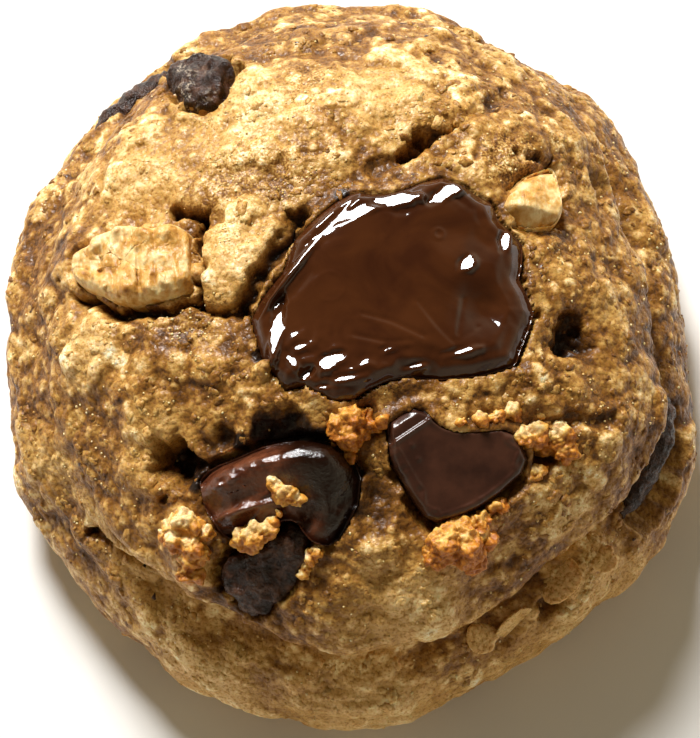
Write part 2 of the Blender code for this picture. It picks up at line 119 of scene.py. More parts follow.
# Dough form, in mm, the same as the part's
doughForm = {
    "height": 34.0,
    "crownCentre": (1.2, -0.3), "leanHeights": (13.0, 19.0),  # the crown stands off centre above these heights
    "freeHeights": (0.6, 4.5),  # the relief fades out towards the underside
    "footRadii": (39.6, 40.5, 42.8, 42.2, 43.4, 42.8, 41.3, 41.2, 39.4, 40, 40.5, 42, 43.4, 41.2, 41.5, 42.2),
    "crownRadii": (33.8, 32.9, 36, 37.2, 37, 37, 37.2, 35.8, 35.2, 34.9, 35.8, 35.6, 37.1, 35.5, 34.8, 36.3),
    "creaseDepths": (4.2, 3.2, 1.6, 0.6, 0.3, 0.5, 1.2, 0.6, 0.2, 0.4, 1, 1.6, 1.5, 1.6, 2.4, 4),
    "gridCuts": 87,
    # how the grid's rows are shared out from the top to the middle of the underside
    "steps": (0, 0.119, 0.221, 0.312, 0.384, 0.426, 0.444, 0.463, 0.49, 0.51, 0.56, 0.62, 0.7, 0.78, 0.84, 0.88,
        0.94, 1),
    # crumb: height, size and shift of the soft waves, then height and size of the coarse and finer grains
    "crumbWave": ((0.20, 2.2, (2, 2, 2)),), "crumbGrains": ((0.21, 2.0, (5, 1, 4)), (0.13, 1.15, (1, 8, 4))),
    "undulation": ((0.8, 8.5, (0, 0, 0)), (0.45, 4.6, (7, 3, 1))),
    # x, y, z, radius, then height or depth
    "lumps": ((-11.7, 2.9, 33, 6.6, 1.9), (-11.2, 8.4, 32.6, 3.6, 0.9), (-5.1, 21.8, 30.6, 11, 1.3),
        (17.2, 20, 29.2, 9, 1.1), (24.9, 3.6, 29.2, 6.5, 1), (23.3, -10.2, 29.7, 5.5, 1.1),
        (27.8, -15.6, 26, 6, 1.3), (11.3, -27.6, 27.7, 6, 1.5), (3.7, -27.2, 28.8, 4.5, 1),
        (8.1, -32.4, 24.7, 7, 0.9), (-28.2, -4.6, 25.9, 6, 1), (-21.3, -4.9, 30, 5.5, 0.9),
        (-12.5, -8.8, 32.4, 5.5, 1), (-22.6, -12, 28.8, 5, 1), (39.6, -16.1, 8.1, 6.5, 0.3),
        (-16.9, -27.4, 24.3, 4.8, 1.4), (27, -27, 12.5, 6.5, 1.2), (9.2, 21.6, 30.4, 4.6, 1),
        (33, -26, 9, 7, 0.8), (-31, 6, 24, 5.5, 0.8), (-26, 17, 27, 8, 0.9), (6, 29, 27, 7, 0.8),
        (-8, -13.6, 32.6, 4.5, 0.8), (19.4, -4.4, 31.8, 3, 0.7), (-36, -16, 9, 9, 0.7), (-20, -37, 8, 9, 0.8),
        (4, -42, 8, 9, 0.6)),
    "pits": ((25.1, -3.9, 29.4, 3, 3), (21.7, -17.3, 28.3, 1.7, 1.8), (29.3, 16.2, 23.2, 2.4, 1.4),
        (-18.9, -18.6, 28.1, 3.4, 4.8), (-6.6, -16, 31.9, 3.4, 2.6), (23.4, -31.4, 13.8, 2.2, 1.8),
        (-13.4, -15.9, 30.8, 1.7, 1.5), (-34, -20, 14, 5, 0.8), (-31.7, 4.2, 23.2, 0.5, 0.8)),
    # half width, depth, then the places a crack runs through
    "cracks": (
        (1.1, 3.4, ((6.4, 16.2, 32.4), (7.6, 17.2, 32), (8.6, 18.2, 31.6))),
        (0.6, 1.8, ((8.4, 18, 31.7), (10.7, 19.1, 31.1), (12.2, 20, 30.4))),
        (1.3, 0.8, ((3.6, 14.2, 32.9), (5.6, 15.6, 32.6))),
        (1.5, 0.8, ((12.2, 20, 30.4), (13.3, 20.9, 29.9), (16.2, 23, 28.3), (18, 25.1, 26.7))),
        (0.9, 2.2, ((-19.2, 10.2, 30.2), (-17.6, 9.6, 30.9), (-15.6, 9.6, 31.6))),
        (1, 2.2, ((-29.8, 1.8, 24.9), (-27.1, -0.1, 27.1), (-25, -1.2, 28.4), (-21.9, -1.7, 29.9),
         (-19.1, -1.5, 31.1), (-16.4, -1, 31.9))),
        (0.9, 1.5, ((-16.4, -1.2, 31.9), (-13.4, -2.2, 32.7), (-10.8, -2.8, 33.2))),
        (0.9, 2.4, ((-15.9, 9.4, 31.5), (-15.8, 6, 31.8), (-15.9, 2.1, 32), (-16.1, -0.4, 32))),
        (1.3, 2.4, ((-5.2, 8.4, 33.6), (-6.9, 5.6, 33.6), (-8.3, 3.1, 33.6), (-9.9, 0, 33.5),
         (-10.9, -2.3, 33.3))),
        (1.3, 0.8, ((21, -13.6, 29.8), (25, -13.6, 28.1), (29, -12.6, 26.1))),
        (0.9, 1.5, ((19.6, 16.8, 29.6), (23.4, 17, 27.8))),
        (1.1, 1.8, ((-28.2, -22.6, 15.1), (-25.8, -24.3, 15.5), (-24.1, -25.6, 16), (-20.9, -28.3, 18.5),
         (-18.4, -30, 19.5))),
        (2.4, 1, ((1.2, -14, 33), (1.8, -16.6, 32.5), (2.6, -19.7, 31.7), (3.4, -22.7, 30.7),
         (3, -25.4, 29.6))),
        (0.75, 2.2, ((28.4, 18, 23.6), (31, 14.8, 22.3), (33.2, 10.4, 21.4), (34.6, 5.6, 21.2),
         (35.8, 0.9, 20.6), (36.4, -3.6, 19.4)))),
    "flakeSeed": 41, "flakeCount": 78, "flakeLength": (4.8, 7.6), "flakeWidthShare": (0.66, 0.86),
    "flakeLift": 0.45, "flakeGap": 0.42, "flakeReach": 0.62,
    "patchCount": 950, "patchSeed": 7, "patchLength": (1.8, 5.2), "patchWidthShare": (0.6, 0.95),
    "patchLiftShare": (0.03, 0.10),
    # oats that can be told apart: x, y, z, length, width, turn, height, tone
    "oats": ((-11.3, 8.6, 33, 5.6, 4.4, 0.3, 0.6, 1.3), (-11, 3, 33.4, 4.4, 3.6, 1.4, 0.3, 0.6),
        (5.8, 29.2, 27, 5.4, 3.6, 0.1, 0.5, 1.4), (-30, -5.4, 24.4, 4.6, 3.2, 1, 0.5, 1.2),
        (29.3, 2.1, 26.7, 4.4, 3.2, 0.6, 0.4, 0.8), (-3.9, 14.8, 32.7, 2.6, 2.4, 0, 0.4, 1),
        (-10.8, 28.2, 26.6, 5, 4, 0.8, 0.4, 0.7), (-18.1, 23.2, 27, 5, 3.8, 2, 0.4, 0.9),
        (8.4, 27.6, 27.6, 4.6, 3.6, 2.4, 0.4, 0.6), (-25.3, 15.2, 26, 5, 4, 0.4, 0.4, 0.7),
        (27.1, 7.8, 27.1, 4.6, 3.4, 1.9, 0.4, 0.7), (12.6, 15.5, 31.7, 4.4, 3.2, 0.5, 0.45, 0.8),
        (26.7, -18.1, 25.3, 4, 3.2, 1.2, 0.45, 0.7), (5.3, -32.5, 25, 4.4, 3.2, 0.2, 0.35, 0.7),
        (17.7, 31, 22.8, 4.4, 3.4, 0.7, 0.4, 0.8), (-15.2, -4.7, 32.1, 4.6, 3.4, 0.5, 0.4, 0.5),
        (21.6, -3.4, 31.2, 4.2, 3.4, 2.2, 0.4, 0.6), (-22, -7, 29.6, 4.4, 3.2, 1.1, 0.4, 0.4),
        (-10.5, -10.6, 32.8, 4.2, 3.2, 0.2, 0.4, 0.4), (24.5, -9.5, 29.2, 3.8, 3, 0.9, 0.4, 0.6),
        (16, -9.8, 32.2, 3.4, 2.8, 0.4, 0.35, 0.7)),
    # chocolate smeared thinly on the dough, painted dark; where it lies in a pit beside a chunk it is also
    # painted shade
    "smeared": ((-8.2, -15.8, 31.6, 2.6), (-5.2, -15.2, 32, 2.8), (-2.4, -16.4, 32.2, 2),
        (-11.4, -16.6, 31, 1.4), (-18.6, -18.4, 28.3, 2.6), (-16.6, -19, 28.6, 1.8), (-5.2, -25.2, 29.5, 2.6),
        (-2.6, -25, 29.8, 2.2), (0.6, -20.5, 31.6, 1.5), (18.6, 0.6, 31.9, 1.3), (-0.6, 10.6, 33.4, 1.3),
        (-9, -7.4, 33, 1.4), (-16.6, -20.4, 28.4, 1.6)),
    # x, y, z, radius: sugary stretches
    "sandy": ((-9, 14.5, 32, 8), (-14, 12, 31, 5), (-12, 5, 33, 4), (-5, 26, 28.5, 5), (18, 16, 30, 5),
        (-17, -3, 31, 5)),
    # darker brown dough, partly painted shade on the right flank, and paler dough, partly painted light on the
    # front of the foot
    "brown": ((-14.2, -7, 32, 6.5), (4, -30, 27, 8), (34.4, -23, 10, 6), (28.5, -10.3, 27, 6), (-35, -9, 17, 7),
        (-17, -8, 30, 9), (27, -4, 28, 8), (34, 2, 18, 8), (-34, 8, 16, 12), (8, -17, 32, 6), (38, -4, 10, 12)),
    "pale": ((24, -22, 20, 6), (2.5, -19, 31.5, 5.5), (-28.2, -4.6, 25.9, 6), (-33, -16, 15, 7),
        (2, -43, 8, 17), (-14, -39, 10, 13), (6, -34, 23, 12), (22, -36, 9, 12), (-12, 22, 29, 12),
        (-22, -29, 16, 9), (30, -29, 9, 12), (-12, 4, 33, 8), (-22, 14, 28, 9), (4, 24, 30, 9),
        (-20, -16, 28, 7)),
    # chocolate that shows dimly through the dough
    "ghosts": ((-13.1, 20.4, 29.8, 1.6), (-5.2, 27.7, 28, 2.4), (-6.8, 25.5, 28.8, 1.6), (-21, 18.9, 27.5, 0.9),
        (-1.7, -32.5, 24.9, 3), (-19.6, -31.6, 14.9, 1.2), (-9.5, -39.2, 13.7, 2.2), (15, 42.4, 7.3, 3),
        (26.2, 25.2, 21.8, 2.4), (-24.7, -3.6, 28.3, 1.4), (23.5, -0.1, 30.2, 1.6), (-9.7, -13.7, 32.2, 1.5),
        (19, -0.7, 31.9, 1.4), (19.1, -4.1, 31.8, 1.6), (18.4, -6.6, 31.9, 1.4), (-21.2, -14.3, 28.2, 2)),
}


def spline(p0, p1, p2, p3, t):
    return 0.5 * (2 * p1 + (p2 - p0) * t + (2 * p0 - 5 * p1 + 4 * p2 - p3) * t * t
                  + (3 * p1 - p0 - 3 * p2 + p3) * t ** 3)


def ringRadius(radii, angle):
    radii = np.array(radii)
    place = (angle / (2 * math.pi) * len(radii)) % len(radii)
    first = place.astype(int)
    return spline(*[radii[(first + k - 1) % len(radii)] for k in range(4)], place - first)


def skinPoints(form, angle, along):
    # points of the plain cookie: along runs from 0 at the top to 1 at the middle of the underside
    crown, foot = ringRadius(form["crownRadii"], angle), ringRadius(form["footRadii"], angle)
    groove = ringRadius(form["creaseDepths"], angle)
    merge = 1.0 - smoothStep(0.2, 1.5, groove)
    step = foot - crown
    flank = [crown + step * share for share in (0.12, 0.3, 0.52, 0.78)]
    crease = (0.97 * crown, crown - groove, crown - 0.6 * groove + 0.6, crown + 0.5 * step - 0.3)
    side = [a + (b - a) * merge for a, b in zip(crease, flank)]
    radii = [0 * crown, 0.3 * crown, 0.55 * crown, 0.76 * crown, 0.91 * crown, 0.985 * crown, crown, *side,
             0.97 * foot, foot, 0.985 * foot, 0.94 * foot, 0.88 * foot, 0.6 * foot, 0 * foot]
    shares = (1, 0.983, 0.925, 0.825, 0.71, 0.63, 0.585, 0.545, 0.50, 0.455, 0.41, 0.33, 0.215, 0.11, 0.035,
              0, 0, 0)
    radii = np.stack([-radii[1], *radii, -radii[-2]], axis=1)
    heights = form["height"] * np.array([shares[1], *shares, 0.0])
    steps = np.array(form["steps"])
    i = np.clip(np.searchsorted(steps, along, side="right") - 1, 0, len(steps) - 2)
    t = (along - steps[i]) / (steps[i + 1] - steps[i])
    rows = np.arange(len(along))
    radius = spline(*[radii[rows, i + k] for k in range(4)], t)
    z = spline(*[heights[i + k] for k in range(4)], t)
    z = np.where(along >= steps[15], 0.0, np.maximum(z, 0.0))
    lean = smoothStep(*form["leanHeights"], z)
    return np.stack([radius * np.cos(angle) + form["crownCentre"][0] * lean,
                     radius * np.sin(angle) + form["crownCentre"][1] * lean, z], axis=1)


# Dough body: a cube grid blown out to the cookie's profile
bpy.ops.object.select_all(action="DESELECT")
bpy.ops.mesh.primitive_cube_add(size=2.0)
dough = bpy.context.object
dough.name = "doughCrown"
bpy.ops.object.mode_set(mode="EDIT")
bpy.ops.mesh.select_all(action="SELECT")
bpy.ops.mesh.subdivide(number_cuts=doughForm["gridCuts"])
bpy.ops.mesh.subdivide(number_cuts=1)
bpy.ops.object.mode_set(mode="OBJECT")
grid = readPoints(dough) * mm
way = np.tan(grid * math.pi / 4)
way /= np.linalg.norm(way, axis=1)[:, None]
angle = np.arctan2(way[:, 1], way[:, 0]) % (2 * math.pi)
along = np.arccos(np.clip(way[:, 2], -1, 1)) / math.pi
plain = skinPoints(doughForm, angle, along)
writePoints(dough, plain)
print("dough grid", len(plain))

# large relief: lumps, undulation, pits and cracks
out = np.zeros(len(plain))
for x, y, z, radius, height in doughForm["lumps"]:
    share = np.linalg.norm(plain - (x, y, z), axis=1) / radius
    out = np.maximum(out, np.where(share < 1, height * np.clip(1 - share * share, 0, 1) ** 1.5, 0))
out += waves(plain, doughForm["undulation"]) - 0.1
swell = out.copy()
wander = np.stack([noiseAt(plain, 2.4, shift) + 0.5 * noiseAt(plain, 1.1, shift)
                   for shift in ((3, 0, 0), (0, 5, 0), (0, 0, 9))], axis=1)
# how deep each pit or crack is; the colour paints the deep ones near black as painted shade
hollow = np.zeros(len(plain))
for x, y, z, radius, depth in doughForm["pits"]:
    share = np.linalg.norm(plain + 0.45 * radius * wander - (x, y, z), axis=1) / radius
    dip = np.where(share < 1, np.clip(1 - share ** 2.2, 0, 1), 0)
    out -= depth * dip
    hollow = np.maximum(hollow, dip * min(1.0, depth / 2))
for halfWidth, depth, path in doughForm["cracks"]:
    share = pathDistance(plain + 0.9 * wander, path) / halfWidth
    dip = np.where(share < 1, 1 - share ** 2, 0)
    out -= depth * dip
    hollow = np.maximum(hollow, dip * min(1.0, depth / 2))
edge = smoothStep(*doughForm["freeHeights"], plain[:, 2])
normals = readNormals(dough)
writePoints(dough, plain + normals * (out * edge)[:, None])

# oat flakes under the skin, the larger ones where the part has them
points, normals = readPoints(dough), readNormals(dough)
tree = pointTree(points)
skinTree = surfaceTree(points, dough.data)
inserts = [node for nodeName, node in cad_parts.items() if nodeName != "cookie_dough"]
cadPoints = [readPoints(node) for node in inserts]
cadTrees = [surfaceTree([v.co / mm for v in node.data.vertices], node.data) for node in inserts]
random = np.random.RandomState(doughForm["flakeSeed"])
flakes = []
for k in range(doughForm["flakeCount"]):
    up = 1.0 - (k + 0.5) * 1.12 / doughForm["flakeCount"]
    turn = k * math.pi * (3.0 - math.sqrt(5.0)) + random.uniform(-0.12, 0.12)
    flat = math.sqrt(max(0.0, 1.0 - up * up))
    length = random.uniform(*doughForm["flakeLength"])
    width = length * random.uniform(*doughForm["flakeWidthShare"])
    spin = random.uniform(0, math.pi)
    random.uniform(-0.2, 0.2), random.uniform(-0.2, 0.2)  # the part tilts its flakes by these: both stay in step
    flakes.append((length, width, Vector((flat * math.cos(turn), flat * math.sin(turn), up)), spin))
flakes.sort(key=lambda flake: -flake[0])
patches = []
for length, width, direction, spin in flakes:
    spot = skinTree.ray_cast(Vector((0, 0, 8)) + direction * 100, -direction)[0]
    near = min(np.min(np.linalg.norm(cloud - np.array(spot), axis=1)) for cloud in cadPoints)
    if spot.z < 4.5 or near < doughForm["flakeReach"] * length + 0.6:
        continue
    if any((spot - other[0]).length < doughForm["flakeGap"] * (length + other[1]) for other in patches):
        continue
    patches.append((spot, length, width, spin, doughForm["flakeLift"]))
largeFlakes = len(patches)
random = np.random.RandomState(doughForm["patchSeed"])
for i in random.randint(0, len(points), doughForm["patchCount"]):
    if points[i][2] > 2.0:
        length = random.uniform(*doughForm["patchLength"])
        width = length * random.uniform(*doughForm["patchWidthShare"])
        patches.append((Vector(points[i]), length, width, random.uniform(0, math.pi),
                        length * random.uniform(*doughForm["patchLiftShare"])))
for x, y, z, length, width, spin, height, tone in doughForm["oats"]:
    nearest = int(np.argmin(np.linalg.norm(points - (x, y, z), axis=1)))
    patches.append((points[nearest], length, width, spin, height, tone))
lift, oat, oatTone = np.zeros(len(points)), np.zeros(len(points)), np.zeros(len(points))
for number, (spot, length, width, spin, height, *tones) in enumerate(patches):
    found = tree.find_range(spot, doughForm["flakeReach"] * length)
    if not found:
        continue
    normal = Vector(normals[tree.find(spot)[1]])
    turned = normal.to_track_quat("Z", "Y").to_matrix() @ Matrix.Rotation(spin, 3, "Z")
    sideways, ahead = np.array(turned.col[0]), np.array(turned.col[1])
    ids = np.array([item[1] for item in found])
    away = points[ids] - np.array(spot)
    u, v = away @ sideways / (length / 2), away @ ahead / (width / 2)
    polar = np.arctan2(v, u)
    reach = np.hypot(u, v) * (1 + 0.12 * np.sin(2 * polar + number) + 0.08 * np.sin(5 * polar + 2.1 * number))
    reach = reach + 0.12 * wander[ids, number % 3]
    body = 1 - smoothStep(0.6, 1.0, reach)
    tilt = 0.35 * height * np.sin(1.7 * number) * u
    domed = np.clip(1 - reach * reach, 0, 1) ** 0.7
    raised = (height + tilt) * (body if number < largeFlakes or tones else domed)
    lift[ids] = np.maximum(lift[ids], raised)
    take = (body > 0.05) if tones else (body > oat[ids])
    oat[ids] = np.where(take, np.maximum(body, oat[ids]) if tones else body, oat[ids])
    oatTone[ids] = np.where(take, tones[0] if tones else 0.5 + 0.5 * math.sin(3.3 * number), oatTone[ids])
rough = 1 - 0.6 * oat
coarse, finer = [noiseAt(points, size, shift, "VORONOI_F1") for height, size, shift in doughForm["crumbGrains"]]
coarseHeight, finerHeight = [height for height, size, shift in doughForm["crumbGrains"]]
grain = waves(points, doughForm["crumbWave"]) - rough * (coarseHeight * coarse + finerHeight * finer)
# crest: how high a point stands among the grains; the colour paints shade between them and light on top from it
crest = np.clip(0.5 - 0.45 * coarse - 0.5 * finer, 0, 1)
writePoints(dough, points + normals * ((lift + grain) * edge)[:, None])
print("patches", len(patches), "large", largeFlakes)
covers, toppings = {}, {}


def softCopy(nodeName, name, finish, voxel, inflate, smoothing):
    # a fine-grained copy of a CAD piece, ready for shaping; voxel and inflate are in mm
    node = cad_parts[nodeName]
    piece = node.copy()
    piece.data = node.data.copy()
    piece.name = name
    piece.parent = None
    bpy.context.scene.collection.objects.link(piece)
    piece.hide_render = piece.hide_viewport = False
    piece.hide_set(False)
    useOnly(piece)
    bpy.ops.object.mode_set(mode="EDIT")
    bpy.ops.mesh.select_all(action="SELECT")
    bpy.ops.mesh.remove_doubles(threshold=0.00001)
    bpy.ops.object.mode_set(mode="OBJECT")
    applyModifier(piece, "REMESH", {"mode": "VOXEL", "voxel_size": voxel * mm})
    applyModifier(piece, "SMOOTH", {"iterations": smoothing, "factor": 0.5})
    writePoints(piece, readPoints(piece) + readNormals(piece) * inflate)
    bpy.ops.object.shade_smooth()
    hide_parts(nodeName)
    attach(piece, "root")
    covers[nodeName], toppings[name] = piece, (piece, finish)
    return piece


def topFace(piece):
    # what shaping needs: points, the upper side's share, the side's own axis, and the way in from the outline
    points, normals = readPoints(piece), readNormals(piece)
    axis = normals[points[:, 2] > np.median(points[:, 2])].mean(axis=0)
    axis /= np.linalg.norm(axis)
    facing = normals @ axis
    terms = np.column_stack([np.ones(len(points)), points[:, :2]])
    height = points @ axis
    plane = np.linalg.lstsq(terms[facing > 0.8], height[facing > 0.8], rcond=None)[0]
    wall = points[(np.abs(facing) < 0.35) & (height - terms @ plane < -0.7)]
    across = np.cross(axis, (1.0, 0, 0))
    across /= np.linalg.norm(across)
    over = np.cross(across, axis)
    wallTree = pointTree([(p @ over, p @ across, 0) for p in wall])
    inward = np.array([wallTree.find((p @ over, p @ across, 0))[2] if f > 0.1 else 0.0
                       for p, f in zip(points, facing)])
    return points, smoothStep(0.15, 0.5, facing), axis, inward


def settle(points, upper, axis, inward, keep):
    # the top is laid flat to a gentle dome, keeping only a share of its own waves
    x, y = points[:, 0], points[:, 1]
    height = points @ axis
    inner = (upper > 0.9) & (inward > 1.2)
    terms = np.stack([np.ones(len(x)), x, y, x * x, x * y, y * y], axis=1)
    fit = np.linalg.lstsq(terms[inner], height[inner], rcond=None)[0]
    ease = smoothStep(0.5, 1.8, inward) * upper * (1 - keep)
    return points + axis * ((terms @ fit - height) * ease)[:, None]


# the way, in plan, in which a slope must fall to throw the light at the camera, and how steeply
glintWay = np.array((-0.50, 0.866))
glintSlope = 0.291


def layFacets(points, upper, facets):
    # each facet is x, y, its run in degrees, half length, half width: a small face turned to the light
    ragged = waves(points, ((0.34, 1.2, (4, 9, 2)), (0.2, 0.5, (2, 9, 4))))
    for x, y, degrees, halfLength, halfWidth in facets:
        plan = points[:, :2] - (x, y)
        run = np.array((math.cos(math.radians(degrees)), math.sin(math.radians(degrees))))
        reach = np.hypot(plan @ run / halfLength, plan @ np.array((-run[1], run[0])) / halfWidth) + ragged
        share = (1 - smoothStep(0.95, 1.0 + 0.45 / halfWidth, reach)) * upper
        middle = points[(reach < 1) & (upper > 0.5), 2]
        if len(middle):
            target = middle.mean() + 0.06 - glintSlope * (plan @ glintWay)
            points[:, 2] += share * (target - points[:, 2])
    return points


def groove(points, path, halfWidth, depth):
    away = pathDistance(points[:, :2], [place[:2] for place in path])
    return -depth * np.exp(-(away / halfWidth) ** 2)


# Melted chocolate pool: a puffed rim, small faces that catch the light, folds, a bubble ring and a dark hollow
poolShape = {
    # x, y, run in degrees, half length, half width
    "facets": ((1.9, 8.6, 22, 2.7, 0.55), (5.8, 9.8, 6, 2.4, 0.75), (10.9, 10.8, 28, 1.9, 0.85),
        (-2.6, 5.6, 52, 3, 0.16), (-4.2, 3.6, 55, 2, 0.12), (-7.4, -5, 82, 2.7, 0.6),
        (-1.6, -8.6, 32, 1.5, 0.75), (0.2, -10.4, 8, 1.3, 0.32), (-5.8, -8.4, 120, 0.8, 0.35),
        (-4.8, -6.9, 20, 0.5, 0.3), (-4.2, -9.8, 40, 0.6, 0.3), (-2.4, -11.2, 10, 0.5, 0.25),
        (13.2, 2.7, 40, 1, 0.75), (17.4, 5.6, 80, 1.1, 0.6), (12.7, -7.1, 12, 1.2, 0.32),
        (4.6, -7.2, 10, 0.4, 0.2), (-7.3, -1.9, 60, 0.6, 0.25), (7.5, -8.8, 5, 0.7, 0.25)),
    "folds": (((8, -1.8), (10, -4.4), (11.8, -6.2), (13.4, -5), (14.3, -4.2)),
              ((12.7, -1.1), (12.4, -3.2), (12.1, -5.1)),
              ((2, -3.2), (5, -4), (8.5, -5.6)), ((1, -5.6), (4.5, -6.4), (7, -6.2))),
    # x, y, radius, depth
    "hollows": ((14.6, -2.2, 2.6, 0.9), (15, 5.4, 1.8, 0.5), (11.3, 6.3, 2, 0.25)),
    "rings": ((10.1, 6.0, 0.55, 0.10, 0.2), (-1.7, -0.2, 1.6, 0.04, 0.18)),  # x, y, radius, height, width
    "lumpy": (-3.4, -9.2, 4.2),
    "rimWaves": ((0.16, 2.1, (4, 0, 0)), (0.06, 0.9, (0, 4, 0))), "broadWaves": ((0.25, 7.0, (0, 0, 6)),),
    # the side that drops away, as a way in plan, and how far
    "dropWay": (0.8, -0.6), "drop": 0.75,
    # height, way in from the outline, width: the puffed rim and the dip behind it
    "rim": ((0.10, 0.9, 0.35), (-0.10, 1.9, 0.45)),
}
pool = softCopy("chocolate_pool", "meltedPool", "meltedDarkChocolate", 0.2, 0.45, 5)
points, upper, axis, inward = topFace(pool)
points = settle(points, upper, axis, inward, 0.15)
rise = sum(height * np.exp(-((inward - middle) / width) ** 2) for height, middle, width in poolShape["rim"])
rimShare = 1 - smoothStep(1.5, 4.0, inward)
rise += waves(points, poolShape["rimWaves"]) * rimShare
rise += waves(points, poolShape["broadWaves"])
for fold in poolShape["folds"]:
    rise += groove(points, fold, 0.3, 0.10) + 0.6 * groove(points + (0.5, 0.4, 0), fold, 0.3, -0.10)
plan = points[:, :2]
away = (plan - plan[upper > 0.5].mean(axis=0)) @ np.array(poolShape["dropWay"]) / 10.0
rise -= poolShape["drop"] * (1 - smoothStep(0.2, 2.6, inward)) * smoothStep(0.15, 0.9, away)
ragged = 0.4 * np.stack([noiseAt(points, 1.8), noiseAt(points, 1.7)], axis=1)
for x, y, radius, depth in poolShape["hollows"]:
    rise -= depth * np.exp(-(np.linalg.norm(plan - (x, y) + ragged, axis=1) / radius) ** 2)
for x, y, radius, height, width in poolShape["rings"]:
    rise += height * np.exp(-((np.linalg.norm(plan - (x, y), axis=1) - radius) / width) ** 2)
x, y, radius = poolShape["lumpy"]
lumpy = np.exp(-(np.linalg.norm(plan - (x, y), axis=1) / radius) ** 4)
rise += lumpy * (0.5 * np.abs(noiseAt(points, 2.2, (1, 1, 1))) + 0.2 * noiseAt(points, 0.9, (2, 1, 1)))
points = layFacets(points + axis * (rise * upper)[:, None], upper, poolShape["facets"])
writePoints(pool, points)

# Left chunk: half melted, a thick roll on top, a thinner one below it, falling away to the right, where it is
# painted dark as shade
leftShape = {
    # height, half width, then the places a roll runs through
    "rolls": ((1.3, 1.9, ((-14.6, -21.6), (-12.4, -20.4), (-9, -19.3), (-4.9, -18.7), (-2.6, -19))),
              (1, 0.95, ((-14.4, -24.9), (-11.4, -23.9), (-9, -23.3), (-6.4, -22.9)))),
    "waves": ((0.12, 1.6, (4, 4, 0)), (0.05, 0.7, (0, 4, 4))),
    "lowered": 0.7, "shoulder": (-2.8, -21.4, 3.4, 0.2),
    "facets": ((-7.9, -18.7, 14, 0.95, 0.28), (-5.6, -18.3, 20, 0.75, 0.36), (-12, -20.3, 30, 0.35, 0.2),
        (-13.4, -21, 35, 0.3, 0.15), (-9.9, -19.3, 20, 0.25, 0.15), (-12.4, -24, 25, 0.35, 0.2),
        (-9.7, -23.1, 17, 1.2, 0.14), (-7.6, -22.6, 12, 0.6, 0.14), (-12.8, -25.4, 10, 0.2, 0.12)),
}
chunkLeft = softCopy("chocolate_chunk_left", "chunkLeft", "halfMeltedDarkChocolate",
                     0.16, 0.4, 5)
points, upper, axis, inward = topFace(chunkLeft)
points = settle(points, upper, axis, inward, 0.0)
calm = 1 - 0.8 * smoothStep(-5.5, -3.5, points[:, 0])
rise = calm * waves(points, leftShape["waves"])
rise -= leftShape["lowered"] + 0.9 * (1 - smoothStep(0.0, 2.4, inward))
for height, halfWidth, path in leftShape["rolls"]:
    rise += height * np.exp(-(pathDistance(points[:, :2], path) / halfWidth) ** 2)
x, y, radius, height = leftShape["shoulder"]
rise += height * np.exp(-(np.linalg.norm(points[:, :2] - (x, y), axis=1) / radius) ** 2)
points = layFacets(points + axis * (rise * upper)[:, None], upper, leftShape["facets"])
writePoints(chunkLeft, points)
# painted shade: the right end is painted near black
storeAttribute(chunkLeft, "paintedShade", smoothStep(-7.5, -3.0, points[:, 0] + 0.5 * points[:, 1] + 10.5))

# Right chunk: cut from a bar, a flat face inside a thin raised rim, with a bevelled strip at its upper left
rightShape = {
    "strip": ((4.4, -15.6), (7.9, -13.2)),
    "nicks": ((17.7, -16, 0.5), (7.1, -17.2, 0.3), (7.8, -18.6, 0.3)),
    "rimHeight": 0.10, "rimIn": 0.45, "rimWidth": 0.22, "stripDepth": 0.45, "stripHalfWidth": (1.3, 1.6),
}
chunkRight = softCopy("chocolate_chunk_right", "chunkRight", "temperedDarkChocolate",
                      0.13, 0.2, 1)
points, upper, axis, inward = topFace(chunkRight)
rise = rightShape["rimHeight"] * np.exp(-((inward - rightShape["rimIn"]) / rightShape["rimWidth"]) ** 2)
rise += 0.02 * noiseAt(points, 2.5, (3, 3, 3)) * smoothStep(0.6, 1.2, inward)
stripAway = pathDistance(points[:, :2], rightShape["strip"])
rise -= rightShape["stripDepth"] * (1 - smoothStep(*rightShape["stripHalfWidth"], stripAway))
rise += 0.12 * np.exp(-((stripAway - 1.75) / 0.2) ** 2)  # the strip's far edge stands up a little
for x, y, width in rightShape["nicks"]:
    rise += 0.4 * width * np.exp(-(np.linalg.norm(points[:, :2] - (x, y), axis=1) / width) ** 2)
rise += 0.10 * noiseAt(points, 0.8, (6, 3, 3)) * (1 - smoothStep(0.2, 0.8, inward))
writePoints(chunkRight, points + axis * (rise * upper)[:, None])

# Broken chunks, dull where the bar snapped: voxel, swelling, then the height and size of the facets, and dust
brokenShapes = {
    "shardLeft": ("chocolate_shard", 0.16, 0.25, 0.62, 2.2, 0.08),
    "chunkRim": ("chocolate_chunk_rim", 0.16, 0.40, 0.75, 1.9, 1.0),
    "chunkSide": ("chocolate_chunk_side", 0.2, -0.15, 0.5, 2.2, 0.08),
    "chunkBack": ("chocolate_chunk_back", 0.2, 0.30, 0.4, 2.0, 0.08)}
for name, (nodeName, voxel, inflate, height, size, dustShare) in brokenShapes.items():
    piece = softCopy(nodeName, name, "brokenDarkChocolate", voxel, inflate, 2)
    points, normals = readPoints(piece), readNormals(piece)
    snapped = height * (0.35 - np.abs(noiseAt(points, size, (8, 2, 5)))) * 1.6
    snapped += waves(points, ((0.16, 0.8, (2, 9, 1)), (0.08, 0.4, (2, 2, 1))))
    writePoints(piece, points + normals * snapped[:, None])
    dust = smoothStep(-0.05, 0.35, noiseAt(points, 1.7, (5, 5, 0)) + 0.35 * noiseAt(points, 0.7, (1, 5, 0)))
    if name == "chunkRim":
        dust *= 1.5 - 1.0 * smoothStep(-18.2, -16.2, points[:, 0])
    storeAttribute(piece, "dust", np.clip(dust, 0, 1) * dustShare)

